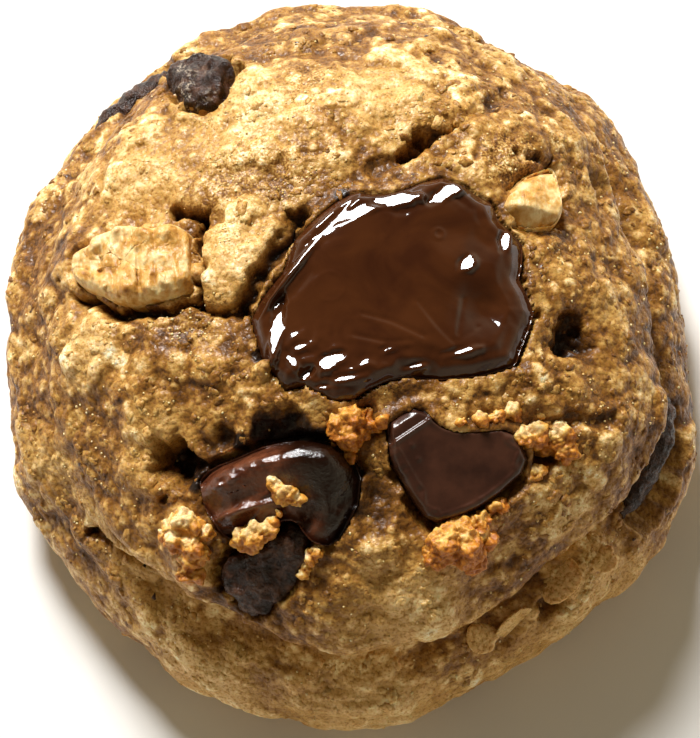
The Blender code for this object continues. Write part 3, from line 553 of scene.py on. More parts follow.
# Walnut pieces: the left one a block with upright ridges and a split, the right one with two faces
nutShape = {
    # half width, depth, then the places a split or vein of the left nut runs through
    "grooves": ((0.25, 0.35, ((-22.9, 5.0), (-22.6, 2.3), (-22.6, -0.3))),
                (0.2, 0.3, ((-27.2, 6.4), (-26.7, 3.1), (-26.1, 0.8))),
                (0.22, 0.2, ((-19.9, 7.3), (-19.2, 4.2), (-18.3, 0.6))),
                (0.22, 0.2, ((-25.0, 7.5), (-24.8, 3.0), (-24.6, 0.3))),
                (0.22, 0.2, ((-21.0, 7.3), (-20.8, 3.5), (-20.6, -0.3)))),
    "leftWaves": ((0.28, 1.2, (3, 3, 3)), (0.10, 0.5, (0, 0, 0))),
    "rightWaves": ((0.2, 1.4, (0, 2, 0)), (0.09, 0.6, (0, 0, 4))),
    "fold": 9.9, "foldSlopes": (0.9, 0.3),  # where the right nut's two faces meet, and how they fall away
}
nutLeft = softCopy("nut_piece_left", "nutLeft", "toastedWalnut", 0.14, 0.42, 1)
points, upper, axis, inward = topFace(nutLeft)
points = settle(points, upper, axis, inward, 0.0)
upright = np.stack([points[:, 0] + 0.1 * points[:, 1], points[:, 1] / 4.5, points[:, 2] / 3.0], axis=1)
rise = 0.75 * (0.25 - np.abs(noiseAt(upright, 1.5, (0, 2, 0)))) + 0.22 * noiseAt(upright, 0.6, (0, 0, 4))
for halfWidth, depth, path in nutShape["grooves"]:
    rise += groove(points, path, halfWidth, depth)
rise -= 0.3 * (1 - smoothStep(-0.3, 0.3, points[:, 0] + 26.8))
rise += waves(points, nutShape["leftWaves"])
writePoints(nutLeft, points + axis * (rise * np.maximum(upper, 0.3))[:, None])

nutRight = softCopy("nut_piece_right", "nutRight", "toastedWalnut", 0.14, 0.25, 0)
points, upper, axis, inward = topFace(nutRight)
points = settle(points, upper, axis, inward, 0.1)
near, far = nutShape["foldSlopes"]
rise = -near * np.maximum(nutShape["fold"] - points[:, 1] - 0.12 * (points[:, 0] - 20), 0)
rise -= far * np.maximum(points[:, 1] - nutShape["fold"], 0)
rise += waves(points, nutShape["rightWaves"])
writePoints(nutRight, points + axis * (rise * np.maximum(upper, 0.2))[:, None])
print("toppings shaped", len(toppings))

# The dough meets each topping: below it inside its outline, up against its rim outside, browner near chocolate,
# partly grease and partly painted shade
meeting = {
    "clearance": 0.9,  # how far the dough stays below a topping
    # how far under the rim the dough stands, and how far out it is drawn up (0: only eased down)
    "rims": {"chocolate_pool": (-0.05, 1.9), "chocolate_chunk_right": (-0.05, 1.6),
             "chocolate_chunk_left": (0.1, 1.4), "chocolate_shard": (0.3, 0.9)},
    "otherRims": (0.2, 0.0),
}
points, normals = readPoints(dough), readNormals(dough)
greaseAndShade = np.zeros(len(points))
for nodeName, piece in covers.items():
    surface, surfaceNormals = readPoints(piece), readNormals(piece)
    cover = surfaceTree(surface, piece.data)
    low, high = surface.min(axis=0) - 5.0, surface.max(axis=0) + 5.0
    middle = surface.mean(axis=0)
    axis = Vector(normals[tree.find(middle)[1]])
    if nodeName in ("chocolate_chunk_side", "chocolate_chunk_back"):
        axis = Vector((middle[0], middle[1], 0)).normalized()
    upward = np.array(axis)
    across = np.array(axis.orthogonal().normalized())
    over = np.cross(upward, across)
    topIds = np.nonzero(surfaceNormals @ upward > 0.2)[0]
    rim = pointTree([(surface[i] @ across, surface[i] @ over, 0) for i in topIds])
    under, reach = meeting["rims"].get(nodeName, meeting["otherRims"])
    for i in np.nonzero(np.all((points > low) & (points < high), axis=1))[0]:
        point = Vector(points[i])
        nearest, _, _, distance = cover.find_nearest(point, 5.0)
        if nearest is None:
            continue
        if nodeName.startswith("chocolate"):
            # darker near chocolate: grease, and painted shade next to it
            greaseAndShade[i] = max(greaseAndShade[i], 1 - smoothStep(0.4, 3.6, distance))
        hit = cover.ray_cast(point + axis * 12, -axis)[0]
        if hit is not None:
            if (point - hit).dot(axis) > -meeting["clearance"]:
                points[i] = np.array(hit - axis * meeting["clearance"])
            continue
        spot, source, apart = rim.find((points[i] @ across, points[i] @ over, 0))
        above = float((points[i] - surface[topIds[source]]) @ upward) + under
        share = 1 - float(smoothStep(0.2, 1.1, apart))
        if above < 0:
            share = (1 - float(smoothStep(0.3, max(reach, 0.31), apart))) * (1 - hollow[i]) if reach else 0.0
        points[i] -= upward * (above * share)
writePoints(dough, points)

patchy = {"crest": crest, "oat": oat, "oatTone": oatTone, "hollow": hollow, "greaseAndShade": greaseAndShade,
          "swell": np.clip(0.5 + 0.35 * swell, 0, 1)}
for name, inner in (("sandy", 0.2), ("ghosts", 0.3), ("brown", 0.2), ("pale", 0.2)):
    patchy[name] = np.zeros(len(points))
    for x, y, z, radius in doughForm[name]:
        share = np.linalg.norm(plain + 1.2 * wander - (x, y, z), axis=1) / radius
        patchy[name] = np.maximum(patchy[name], 1 - smoothStep(inner, 1.0, share))
# smeared chocolate joins the hollows' dark colour: partly a real smear, partly painted shade
for x, y, z, radius in doughForm["smeared"]:
    share = np.linalg.norm(plain + 0.6 * wander - (x, y, z), axis=1) / radius
    patchy["hollow"] = np.maximum(patchy["hollow"], 1 - smoothStep(0.6, 1.0, share))
for name, values in patchy.items():
    storeAttribute(dough, name, values)

# crown and foot become two pieces, parted in the crease, each closed inside
useOnly(dough)
bpy.ops.object.shade_smooth()
doughNormals = readNormals(dough)
onSeam = 1e-6  # the grid's middle row belongs to both
foot = dough.copy()
foot.data = dough.data.copy()
foot.name = "doughFoot"
bpy.context.scene.collection.objects.link(foot)
normalTree = pointTree(points)
for half, keep in ((dough, grid[:, 2] > -onSeam), (foot, grid[:, 2] < onSeam)):
    mesh = bmesh.new()
    mesh.from_mesh(half.data)
    mesh.verts.ensure_lookup_table()
    bmesh.ops.delete(mesh, geom=[mesh.verts[i] for i in np.nonzero(~keep)[0]], context="VERTS")
    mesh.to_mesh(half.data)
    mesh.free()
    useOnly(half)
    bpy.ops.object.mode_set(mode="EDIT")
    bpy.ops.mesh.select_all(action="DESELECT")
    bpy.ops.mesh.select_non_manifold()
    # the inner wall turns in below the skin and meets in the middle
    bpy.ops.mesh.extrude_region_move()
    bpy.ops.transform.resize(value=(0.9, 0.9, 1.0), center_override=(0.0, 0.0, 0.016))
    bpy.ops.mesh.extrude_region_move()
    bpy.ops.mesh.merge(type="CENTER")
    bpy.ops.object.mode_set(mode="OBJECT")
    turned = readNormals(half)
    for i, p in enumerate(readPoints(half)):
        spot, source, distance = normalTree.find(p)
        if distance < 1e-4:
            turned[i] = doughNormals[source]
    half.data.normals_split_custom_set_from_vertices([Vector(n) for n in turned])
    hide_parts("cookie_dough")
    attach(half, "root")
    print(half.name, "triangles", sum(len(f.vertices) - 2 for f in half.data.polygons))

# Everything that shows, for laying crumbs on it
coverTrees = []
for obj in [dough, foot] + [piece for piece, finish in toppings.values()]:
    coverTrees.append(surfaceTree([v.co / mm for v in obj.data.vertices], obj.data))


def landing(x, y):
    # the first surface met from above, and its normal
    best = None
    for surface in coverTrees:
        hit, normal, _, distance = surface.ray_cast(Vector((x, y, 40.0)), Vector((0, 0, -1)))
        if hit is not None and (best is None or distance < best[2]):
            best = (hit, normal, distance)
    return best[:2]


# Crumb clusters: balls pressed together, remeshed and roughened. Each is how much paler it is than golden, then
# its balls: x, y, radius, how far each stands up
clusterShapes = {
    "crumbGolden": (-0.3, (-0.9, -14.9, 1.3, 0.1), (0.4, -14.3, 1.7, 0.3), (1, -15.1, 1.6, 0.3),
        (-0.1, -16.1, 1.5, 0.2), (-1.2, -16.4, 0.9, 0.2), (0.6, -17.2, 1, 0.1), (0.2, -18.2, 0.7, 0.1),
        (1.9, -14.3, 1.3, 0.2), (2.3, -13.3, 0.9, 0.2), (3.2, -14.8, 0.9, 0.3), (3.9, -14.5, 0.8, 0.2),
        (-1.9, -15.9, 0.6, 0.2)),
    "crumbLower": (0.15, (-18.6, -24.6, 1.3, 0.4), (-17.3, -24.2, 1.4, 0.6), (-16.4, -24.9, 1.4, 0.6),
        (-17.9, -26, 1.5, 0.5), (-16.5, -26.7, 1.4, 0.6), (-16.9, -28.1, 1.1, 0.4), (-17.4, -29.3, 1.1, 0.4),
        (-16.4, -29.7, 0.9, 0.3), (-15.4, -27.7, 1, 0.3), (-19.4, -25.3, 0.8, 0.3), (-15.1, -25.6, 0.9, 0.4)),
    "crumbMiddle": (0.2, (-9.6, -25.7, 1.6, 0.4), (-10.7, -26.1, 1.3, 0.4), (-8.6, -25.3, 1.2, 0.4),
        (-9.8, -26.9, 1.1, 0.6), (-7.8, -24.5, 0.7, 0.3), (-7.1, -23.8, 0.5, 0.3)),
    "crumbPale": (0.4, (-7.1, -21.4, 0.9, 0.4), (-6.2, -22, 1.2, 0.5), (-5.5, -22.8, 0.9, 0.4),
        (-7.6, -20.8, 0.6, 0.3)),
    "crumbRim": (0.35, (-3.2, -27.8, 0.8, 0.2), (-3.6, -28.4, 0.8, 0.2), (-4.1, -29.1, 0.8, 0.2),
        (-4.7, -29.8, 0.6, 0.2)),
    "crumbRight": (0.1, (19.5, -15.7, 1.2, -0.2), (20.6, -14.8, 1.4, -0.3), (23.2, -15.4, 1.9, -0.45),
        (23.8, -16.9, 1.5, -0.4), (20.8, -19, 1.1, -0.3), (17.9, -13.2, 1, 0), (14.8, -14, 0.8, 0.1),
        (16.3, -13.7, 0.9, 0), (21.7, -16, 1.2, -0.4), (12.6, -14.4, 0.7, 0)),
    "crumbBelow": (-0.15, (16.4, -23, 1.1, 0), (14.6, -24.6, 1.4, -0.1), (12.4, -25.7, 1.7, -0.1),
        (10.8, -27.1, 2.1, -0.15), (12.9, -27.5, 2.2, -0.15), (15.2, -26.2, 1.5, -0.2), (9.5, -28.2, 1.5, -0.2),
        (13.9, -28.8, 1.2, -0.2)),
}
towardsLight = np.array((-0.24, 0.55, 0.80))
clusters = []
for name, (paler, *balls) in clusterShapes.items():
    made = []
    for x, y, radius, stand in balls:
        hit, normal = landing(x, y)
        place = hit + normal * (radius * stand)
        bpy.ops.object.select_all(action="DESELECT")
        bpy.ops.mesh.primitive_ico_sphere_add(subdivisions=3, radius=radius * mm, location=place * mm)
        made.append(bpy.context.object)
    useOnly(*made)
    bpy.ops.object.join()
    cluster = bpy.context.object
    cluster.name = name
    bpy.ops.object.transform_apply(location=True, rotation=True, scale=True)
    applyModifier(cluster, "REMESH", {"mode": "VOXEL", "voxel_size": 0.12 * mm})
    applyModifier(cluster, "SMOOTH", {"iterations": 9, "factor": 0.5})
    points, normals = readPoints(cluster), readNormals(cluster)
    coarse, finer = noiseAt(points, 0.8, (0, 3, 1), "VORONOI_F1"), noiseAt(points, 0.45, (1, 3, 1), "VORONOI_F1")
    finest = noiseAt(points, 0.38, (6, 4, 0))
    rise = waves(points, ((0.7, 1.7, (3, 1, 0)), (0.42, 0.75, (6, 1, 0))))
    rise += 0.16 * finest - 0.14 * coarse - 0.12 * finer
    storeAttribute(cluster, "crest", np.clip(0.5 - 0.3 * coarse - 0.45 * finer + 0.3 * finest, 0, 1))
    writePoints(cluster, points + normals * rise[:, None])
    # painted light: the side of each crumb facing the key is painted paler, on top of its own paleness
    lit = 0.8 * smoothStep(0.2, 1.0, normals @ towardsLight) + 0.5 * noiseAt(points, 1.6, (0, 7, 7))
    storeAttribute(cluster, "tone", np.clip(lit + paler, 0, 1))
    bpy.ops.object.shade_smooth()
    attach(cluster, "root")
    clusters.append(cluster)
print("crumb clusters", len(clusters))


def scatter(name, model, placements, slotName, unevenness=0.22, **marks):
    # copies of one small model in one mesh: a placement is place, up, spin, sizes; marks go on all its points
    base = np.array([v.co for v in model.data.vertices])
    faces = [list(f.vertices) for f in model.data.polygons]
    allPoints, allFaces = [], []
    for number, (place, up, spin, sizes) in enumerate(placements):
        turned = np.array(Vector(up).to_track_quat("Z", "Y").to_matrix() @ Matrix.Rotation(spin, 3, "Z"))
        uneven = 1 + unevenness * np.sin(base @ np.array((3.1, 4.7, 2.3)) * 1.9 + number)
        allPoints.append((base * uneven[:, None] * np.array(sizes)) @ turned.T + np.array(place))
        start = number * len(base)
        allFaces.extend([[start + i for i in face] for face in faces])
    mesh = bpy.data.meshes.new(name)
    mesh.from_pydata([tuple(p) for p in np.concatenate(allPoints) * mm], [], allFaces)
    piece = bpy.data.objects.new(name, mesh)
    bpy.context.scene.collection.objects.link(piece)
    bpy.data.objects.remove(model, do_unlink=True)
    for mark, value in marks.items():
        storeAttribute(piece, mark, np.full(len(mesh.vertices), value))
    useOnly(piece)
    bpy.ops.object.shade_smooth()
    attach(piece, "root")
    print(name, len(placements), "triangles", sum(len(f.vertices) - 2 for f in mesh.polygons))
    return piece


def ballModel(subdivisions):
    bpy.ops.object.select_all(action="DESELECT")
    bpy.ops.mesh.primitive_ico_sphere_add(subdivisions=subdivisions, radius=0.5)
    return bpy.context.object


def flakeModel():
    # a rolled oat: a thin soft oval, dished in the middle, nicked at one end
    model = ballModel(3)
    for vert in model.data.vertices:
        x, y, z = vert.co
        out = 2 * math.hypot(x, y)
        angle = math.atan2(y, x)
        vert.co *= 1 - 0.2 * math.exp(-(angle / 0.25) ** 2) * out + 0.05 * math.sin(3 * angle) * out
        vert.co.z = 0.14 * z * (0.55 + 0.6 * out) + 0.10 * x * x - 0.06 * y + 0.02 * math.sin(9 * y)
    return model


# Loose bits lie on the dough alone, in patches, and fewer on the flanks
doughPieces = (dough, foot)
points = np.concatenate([readPoints(piece) for piece in doughPieces])
normals = np.concatenate([readNormals(piece) for piece in doughPieces])
carried = {}
for name in ("greaseAndShade", "sandy", "ghosts", "swell", "brown", "pale"):
    values = [np.zeros(len(piece.data.vertices)) for piece in doughPieces]
    for piece, row in zip(doughPieces, values):
        piece.data.attributes[name].data.foreach_get("value", row)
    carried[name] = np.concatenate(values)
outerOnly = (np.linalg.norm(points[:, :2], axis=1) > 3.0) & (points[:, 2] > 2.5) & (normals[:, 2] > -0.3)
wholeTurn = 6.28
scatterShape = {"seed": 23, "crumbs": 2100, "crumbMm": (0.5, 1.0), "largeShare": 0.10, "grains": 3600,
                "grainMm": (0.18, 0.36), "specks": 30, "speckMm": (0.4, 0.9), "offToppings": 0.9}
random = np.random.RandomState(scatterShape["seed"])
candidates = np.nonzero(outerOnly)[0]
density = 0.15 + 0.85 * smoothStep(-0.3, 0.4, noiseAt(points[candidates], 5.0, (9, 9, 9)))
density *= 0.3 + 0.7 * smoothStep(0.2, 0.8, normals[candidates, 2])
density /= density.sum()


def looseSpots(count):
    spots = []
    for i in random.choice(candidates, count * 2, replace=False, p=density):
        if len(spots) == count:
            break
        near = min(tree.find_nearest(Vector(points[i]), 1.6)[3] or 9.0 for tree in cadTrees)
        if near > scatterShape["offToppings"]:
            spots.append(i)
    return spots


placements, under = [], []
for i in looseSpots(scatterShape["crumbs"]):
    size = random.uniform(*scatterShape["crumbMm"])
    size *= 1.7 if random.uniform() < scatterShape["largeShare"] else 1.0
    sizes = (size * random.uniform(0.9, 1.5), size * random.uniform(0.7, 1.1), size * random.uniform(0.3, 0.55))
    placements.append((points[i] - normals[i] * 0.10 * size, normals[i], random.uniform(0, wholeTurn), sizes))
    random.uniform()  # each bit takes one draw more, so that the ones after it stay where they are
    under.append(i)
doughCrumbs = scatter("doughCrumbs", ballModel(2), placements, "dough", crest=0.55, hollow=0.0)
each = len(doughCrumbs.data.vertices) // len(under)
for name, values in carried.items():
    storeAttribute(doughCrumbs, name, np.repeat(values[under], each))
chance = random.uniform(0, 1, len(under))
storeAttribute(doughCrumbs, "oat", np.repeat((chance > 0.5) * 0.7, each))
storeAttribute(doughCrumbs, "oatTone", np.repeat(random.uniform(0.1, 0.6, len(under)), each))
placements = []
for i in looseSpots(scatterShape["grains"]):
    if carried["sandy"][i] + 0.25 > random.uniform():
        size = random.uniform(*scatterShape["grainMm"])
        placements.append((points[i] + normals[i] * 0.02, normals[i], random.uniform(0, wholeTurn),
                           (size, size, size * 0.8)))
        random.uniform()
sugarGrains = scatter("sugarGrains", ballModel(1), placements, "dough",
                      crest=0.55, oat=1.0, oatTone=0.9, swell=0.8)
placements = []
for i in looseSpots(scatterShape["specks"]):
    size = random.uniform(*scatterShape["speckMm"])
    placements.append((points[i] - normals[i] * 0.25 * size, normals[i], random.uniform(0, wholeTurn),
                       (size * 1.3, size, size * 0.6)))
    random.uniform()
chocolateSpecks = scatter("chocolateSpecks", ballModel(2), placements, "satin_chocolate")

# Rolled oats that stand out of the dough: x, y, z, across, way its edge lifts in degrees, lift in degrees
flakeSpots = ((23.6, -28.2, 15.4, 6, -70, 10), (19, -33.8, 14, 5.2, -150, 18), (15.4, -35.2, 14.6, 4.2, -60, 16),
              (28.6, -25.8, 14.8, 3.4, -20, 20))
placements = []
for x, y, z, across, degrees, tilt in flakeSpots:
    i = int(np.argmin(np.linalg.norm(points - (x, y, z), axis=1)))
    outward = Vector((math.cos(math.radians(degrees)), math.sin(math.radians(degrees)), 0))
    up = (Vector(normals[i]) - outward * math.tan(math.radians(tilt))).normalized()
    placements.append((points[i] + normals[i] * 0.1, up, math.radians(degrees), (across, across * 0.84, 5.0)))
oatFlakes = scatter("oatFlakes", flakeModel(), placements, "dough", 0.04,
                    crest=0.55, oat=1.0, oatTone=0.55, swell=0.8)
print("crumbs and flakes laid")


# Materials: colours are sRGB, and sizes are in mm, so a noise scale is one over the size
def linear(hexCode):
    channels = [int(hexCode[i:i + 2], 16) / 255 for i in (1, 3, 5)]
    return tuple(c / 12.92 if c <= 0.04045 else ((c + 0.055) / 1.055) ** 2.4 for c in channels) + (1.0,)


def addNode(nodeTree, kind, settings=None, inputs=None, stops=()):
    # an input is a value, a colour code, or a node with the output to link from; stops are a colour ramp's
    node = nodeTree.nodes.new("ShaderNode" + kind)
    for key, value in (settings or {}).items():
        setattr(node, key, value)
    for key, value in (inputs or {}).items():
        if isinstance(value, tuple) and isinstance(value[0], bpy.types.Node):
            nodeTree.links.new(value[0].outputs[value[1]], node.inputs[key])
        else:
            node.inputs[key].default_value = linear(value) if isinstance(value, str) else value
    for number, (place, colour) in enumerate(stops):
        elements = node.color_ramp.elements
        element = elements[number] if number < 2 else elements.new(place)
        element.position = place
        element.color = linear(colour) if isinstance(colour, str) else tuple(np.broadcast_to(colour, 3)) + (1.0,)
    return node


materials = {}
mixing, multiplying = {"data_type": "RGBA"}, {"data_type": "RGBA", "blend_type": "MULTIPLY"}


def newMaterial(name):
    # gives back the node tree, and the object coordinates in mm as a texture's input
    materials[name] = bpy.data.materials.new(name)
    materials[name].use_nodes = True
    nodeTree = materials[name].node_tree
    nodeTree.nodes.clear()
    coordinates = addNode(nodeTree, "TexCoord")
    inMm = addNode(nodeTree, "VectorMath", {"operation": "SCALE"}, {0: (coordinates, "Object"), "Scale": 1 / mm})
    return nodeTree, {"Vector": (inMm, 0)}


# baked oatmeal dough: brown grainy crumb, golden where oats lie under a thin film, greasy by the chocolate;
# shade and light are also painted into it in places
doughFinish = {
    "noises": {"broad": {"Scale": 1 / 8.0, "Detail": 3.0},
               "mottle": {"Scale": 1 / 1.9, "Detail": 4.0, "Roughness": 0.65},
               "grain": {"Scale": 1 / 0.36, "Detail": 2.0, "Roughness": 0.6},
               "sand": {"Scale": 1 / 0.27, "Detail": 1.0}},
    "fleckMm": 1.9, "cellMm": 0.7,
    # what each ramp reads, and its stops
    "ramps": {"crumb": ("mottle", ((0.33, "#80582C"), (0.47, "#9C7038"), (0.58, "#B7864A"), (0.72, "#D4AC6C"))),
              "oats": ("oatTone", ((0.0, "#C58C3E"), (0.45, "#DDAE62"), (0.9, "#F0D8A4"))),
              "grey": ("broad", ((0.46, 0.0), (0.66, 0.35))),
              "sugar": ("sand", ((0.38, "#8A5C32"), (0.50, "#BE9262"), (0.62, "#EBD6B4"))),
              "paintedCreaseShade": ("crest", ((0.12, "#A07644"), (0.5, "#F2E4CA"), (0.85, "#FFFFFF"))),
              "cream": ("crest", ((0.62, 0.0), (1.0, 0.45))),
              "low": ("swell", ((0.25, 0.5), (0.6, 0.0))),
              "grains": ("grain", ((0.32, "#B88C5C"), (0.5, "#F6ECDC"), (0.68, "#FFFFFF"))),
              "rough": ("grain", ((0.38, 0.55), (0.62, 0.27)))},
    "shares": {"brown": 0.55, "pale": 0.6, "greaseAndShade": 0.3, "ghosts": 0.45, "hollow": 0.92},
    # which cells carry a fleck, and how strongly
    "flecks": {"paleFlecks": ("GREATER_THAN", 0.82, 0.5), "darkFlecks": ("LESS_THAN", 0.08, 0.6)},
    "deepen": 1.45, "lift": (1.54, 2.08, 2.02), "toneShare": 0.85,
    "tones": ((0.005, "#1A0C04"), (0.03, "#452709"), (0.092, "#7C501C"), (0.184, "#A27434"), (0.344, "#C99C57"),
              (0.517, "#E2BC82"), (0.72, "#F3DCAA"), (0.88, "#FAEED4")),
    "shader": {"IOR": 1.45, "Specular IOR Level": 0.35, "Subsurface Weight": 0.3, "Subsurface Scale": 0.8 * mm,
               "Subsurface Radius": (1.0, 0.55, 0.25)},
}
nodeTree, inMm = newMaterial("bakedOatDough")
read = {name: (addNode(nodeTree, "Attribute", {"attribute_name": name}), "Fac")
        for name in ("oat", "oatTone", "hollow", "greaseAndShade", "sandy", "ghosts", "swell", "brown", "pale", "crest")}
for name, values in doughFinish["noises"].items():
    read[name] = (addNode(nodeTree, "TexNoise", {}, {**values, **inMm}), "Fac")
ramps = {name: (addNode(nodeTree, "ValToRGB", {}, {"Fac": read[source]}, stops), 0)
         for name, (source, stops) in doughFinish["ramps"].items()}
shares = {name: (addNode(nodeTree, "Math", {"operation": "MULTIPLY"}, {0: read[name], 1: strength}), 0)
          for name, strength in doughFinish["shares"].items()}
# the oats' edges are broken up by the crumb
oatEdge = addNode(nodeTree, "Math", {"operation": "MULTIPLY_ADD"}, {0: read["mottle"], 1: 2.0, 2: -1.0})
oatShare = addNode(nodeTree, "Math", {"operation": "ADD", "use_clamp": True}, {0: read["oat"], 1: (oatEdge, 0)})
oatShare = addNode(nodeTree, "Math", {"operation": "MULTIPLY"}, {0: (oatShare, 0), 1: 0.85})
sugarShare = addNode(nodeTree, "Math", {"operation": "MULTIPLY_ADD"}, {0: read["sandy"], 1: 0.5, 2: 0.05})
flecks = addNode(nodeTree, "TexVoronoi", {}, {"Scale": 1 / doughFinish["fleckMm"], **inMm})
fleckDot = addNode(nodeTree, "ValToRGB", {}, {"Fac": (flecks, "Distance")}, ((0.12, 1.0), (0.30, 0.0)))
fleckPick = addNode(nodeTree, "SeparateColor", {}, {0: (flecks, "Color")})
for name, (comparison, limit, strength) in doughFinish["flecks"].items():
    chosen = addNode(nodeTree, "Math", {"operation": comparison}, {0: (fleckPick, 0), 1: limit})
    dots = addNode(nodeTree, "Math", {"operation": "MULTIPLY"}, {0: (fleckDot, 0), 1: (chosen, 0)})
    shares[name] = (addNode(nodeTree, "Math", {"operation": "MULTIPLY"}, {0: (dots, 0), 1: strength}), 0)
colour = ramps["crumb"]
for share, tint, way in (
        ((oatShare, 0), ramps["oats"], mixing),
        (ramps["grey"], "#9C774C", mixing),  # greyer stretches, several millimetres wide
        ((sugarShare, 0), ramps["sugar"], mixing),  # pale and dark points side by side
        (shares["paleFlecks"], "#F3DFB2", mixing),  # crumbs of oat
        (shares["darkFlecks"], "#4A2A14", mixing),
        (0.6, ramps["paintedCreaseShade"], multiplying),  # painted shade: darker between the grains of crumb
        (ramps["cream"], "#FBF1DC", mixing),  # painted light: paler on top of them
        # browner patches, partly painted shade
        (shares["brown"], "#CDB491", multiplying),
        # paler patches, partly painted light
        (shares["pale"], "#E3B87C", mixing),
        (ramps["low"], "#6E4622", mixing),  # painted shade: lower places are painted browner
        (shares["greaseAndShade"], "#5A3818", mixing),  # the chocolate's grease, and painted shade beside the chocolate
        (shares["ghosts"], "#5C4530", mixing),  # chocolate buried just below the skin
        # painted shade: pits and cracks near black; smeared chocolate takes the same colour
        (shares["hollow"], "#26130A", mixing),
        (0.65, ramps["grains"], multiplying)):
    colour = (addNode(nodeTree, "Mix", way, {0: share, 6: colour, 7: tint}), 2)
# dark dough is a saturated brown, the palest is cream
deepened = addNode(nodeTree, "Gamma", {}, {"Color": colour, "Gamma": doughFinish["deepen"]})
lifted = addNode(nodeTree, "VectorMath", {"operation": "MULTIPLY"}, {0: (deepened, 0), 1: doughFinish["lift"]})
lightness = addNode(nodeTree, "RGBToBW", {}, {"Color": (lifted, 0)})
toned = addNode(nodeTree, "ValToRGB", {}, {"Fac": (lightness, 0)}, doughFinish["tones"])
base = addNode(nodeTree, "Mix", mixing, {0: doughFinish["toneShare"], 6: (lifted, 0), 7: (toned, 0)})
cells = addNode(nodeTree, "TexVoronoi", {}, {"Scale": 1 / doughFinish["cellMm"], **inMm})
bump = addNode(nodeTree, "Bump", {"invert": True},
               {"Height": (cells, "Distance"), "Strength": 0.5, "Distance": 0.35 * mm})
bump = addNode(nodeTree, "Bump", {},
               {"Height": read["grain"], "Normal": (bump, 0), "Strength": 0.45, "Distance": 0.14 * mm})
bump = addNode(nodeTree, "Bump", {},
               {"Height": read["sand"], "Normal": (bump, 0), "Strength": 0.35, "Distance": 0.12 * mm})
addNode(nodeTree, "BsdfPrincipled", {}, {
    "Base Color": (base, 2), "Roughness": ramps["rough"], "Normal": (bump, 0), **doughFinish["shader"]})

chocolates = {
    # couverture gone soft: it mirrors the light sharply
    "meltedDarkChocolate": {
        "cloud": {"Scale": 1 / 6.0, "Detail": 3.0, "Distortion": 0.8},
        "stops": ((0.35, "#351809"), (0.65, "#45230E")), "fine": {"Scale": 1 / 1.3, "Detail": 2.0},
        "bump": {"Strength": 0.25, "Distance": 0.10 * mm}, "rough": 0.08},
    # soft and brown with a rough skin: its highlights break up, and its right end is painted dark as painted
    # shade
    "halfMeltedDarkChocolate": {
        "cloud": {"Scale": 1 / 1.6, "Detail": 4.0, "Roughness": 0.6},
        "stops": ((0.35, "#421E10"), (0.65, "#6A3C26")),
        "fine": {"Scale": 1 / 0.5, "Detail": 3.0, "Roughness": 0.6},
        "bump": {"Strength": 0.8, "Distance": 0.16 * mm}, "rough": 0.16, "paintedShade": "#1C0B04"},
    # moulded flat and set: a satin face
    "temperedDarkChocolate": {
        "cloud": {"Scale": 1 / 3.0, "Detail": 4.0}, "stops": ((0.35, "#341C13"), (0.65, "#4A2B1E")),
        "fine": {"Scale": 1 / 0.6, "Detail": 3.0}, "bump": {"Strength": 0.3, "Distance": 0.06 * mm},
        "rough": 0.27},
}
for name, finish in chocolates.items():
    nodeTree, inMm = newMaterial(name)
    cloud = addNode(nodeTree, "TexNoise", {}, {**finish["cloud"], **inMm})
    colour = (addNode(nodeTree, "ValToRGB", {}, {"Fac": (cloud, "Fac")}, finish["stops"]), 0)
    if "paintedShade" in finish:
        paintedShade = addNode(nodeTree, "Attribute", {"attribute_name": "paintedShade"})
        colour = (addNode(nodeTree, "Mix", mixing, {0: (paintedShade, "Fac"), 6: colour, 7: finish["paintedShade"]}), 2)
    fine = addNode(nodeTree, "TexNoise", {}, {**finish["fine"], **inMm})
    bump = addNode(nodeTree, "Bump", {}, {"Height": (fine, "Fac"), **finish["bump"]})
    addNode(nodeTree, "BsdfPrincipled", {}, {"Base Color": colour, "Normal": (bump, 0), "IOR": 1.5,
                                             "Roughness": finish["rough"]})

# snapped dark chocolate: dull broken faces with sugary dust in patches
nodeTree, inMm = newMaterial("brokenDarkChocolate")
cloud = addNode(nodeTree, "TexNoise", {}, {"Scale": 1 / 1.4, "Detail": 5.0, "Roughness": 0.65, **inMm})
base = addNode(nodeTree, "ValToRGB", {}, {"Fac": (cloud, "Fac")},
               ((0.35, "#1C0E08"), (0.5, "#321C12"), (0.68, "#5A3A28")))
dust = addNode(nodeTree, "Attribute", {"attribute_name": "dust"})
dustNoise = addNode(nodeTree, "TexNoise", {}, {"Scale": 1 / 0.5, "Detail": 3.0, "Roughness": 0.7, **inMm})
dustGrain = addNode(nodeTree, "ValToRGB", {}, {"Fac": (dustNoise, "Fac")}, ((0.50, 0.0), (0.66, 1.0)))
dustShare = addNode(nodeTree, "Math", {"operation": "MULTIPLY"}, {0: (dust, "Fac"), 1: (dustGrain, 0)})
base = addNode(nodeTree, "Mix", mixing, {0: (dustShare, 0), 6: (base, 0), 7: "#B3A38F"})
bump = addNode(nodeTree, "Bump", {}, {"Height": (cloud, "Fac"), "Strength": 1.0, "Distance": 0.5 * mm})
bump = addNode(nodeTree, "Bump", {},
               {"Height": (dustNoise, "Fac"), "Normal": (bump, 0), "Strength": 0.9, "Distance": 0.25 * mm})
addNode(nodeTree, "BsdfPrincipled", {}, {"Base Color": (base, 2), "Normal": (bump, 0), "IOR": 1.5,
                                         "Specular IOR Level": 0.32, "Roughness": 0.2})

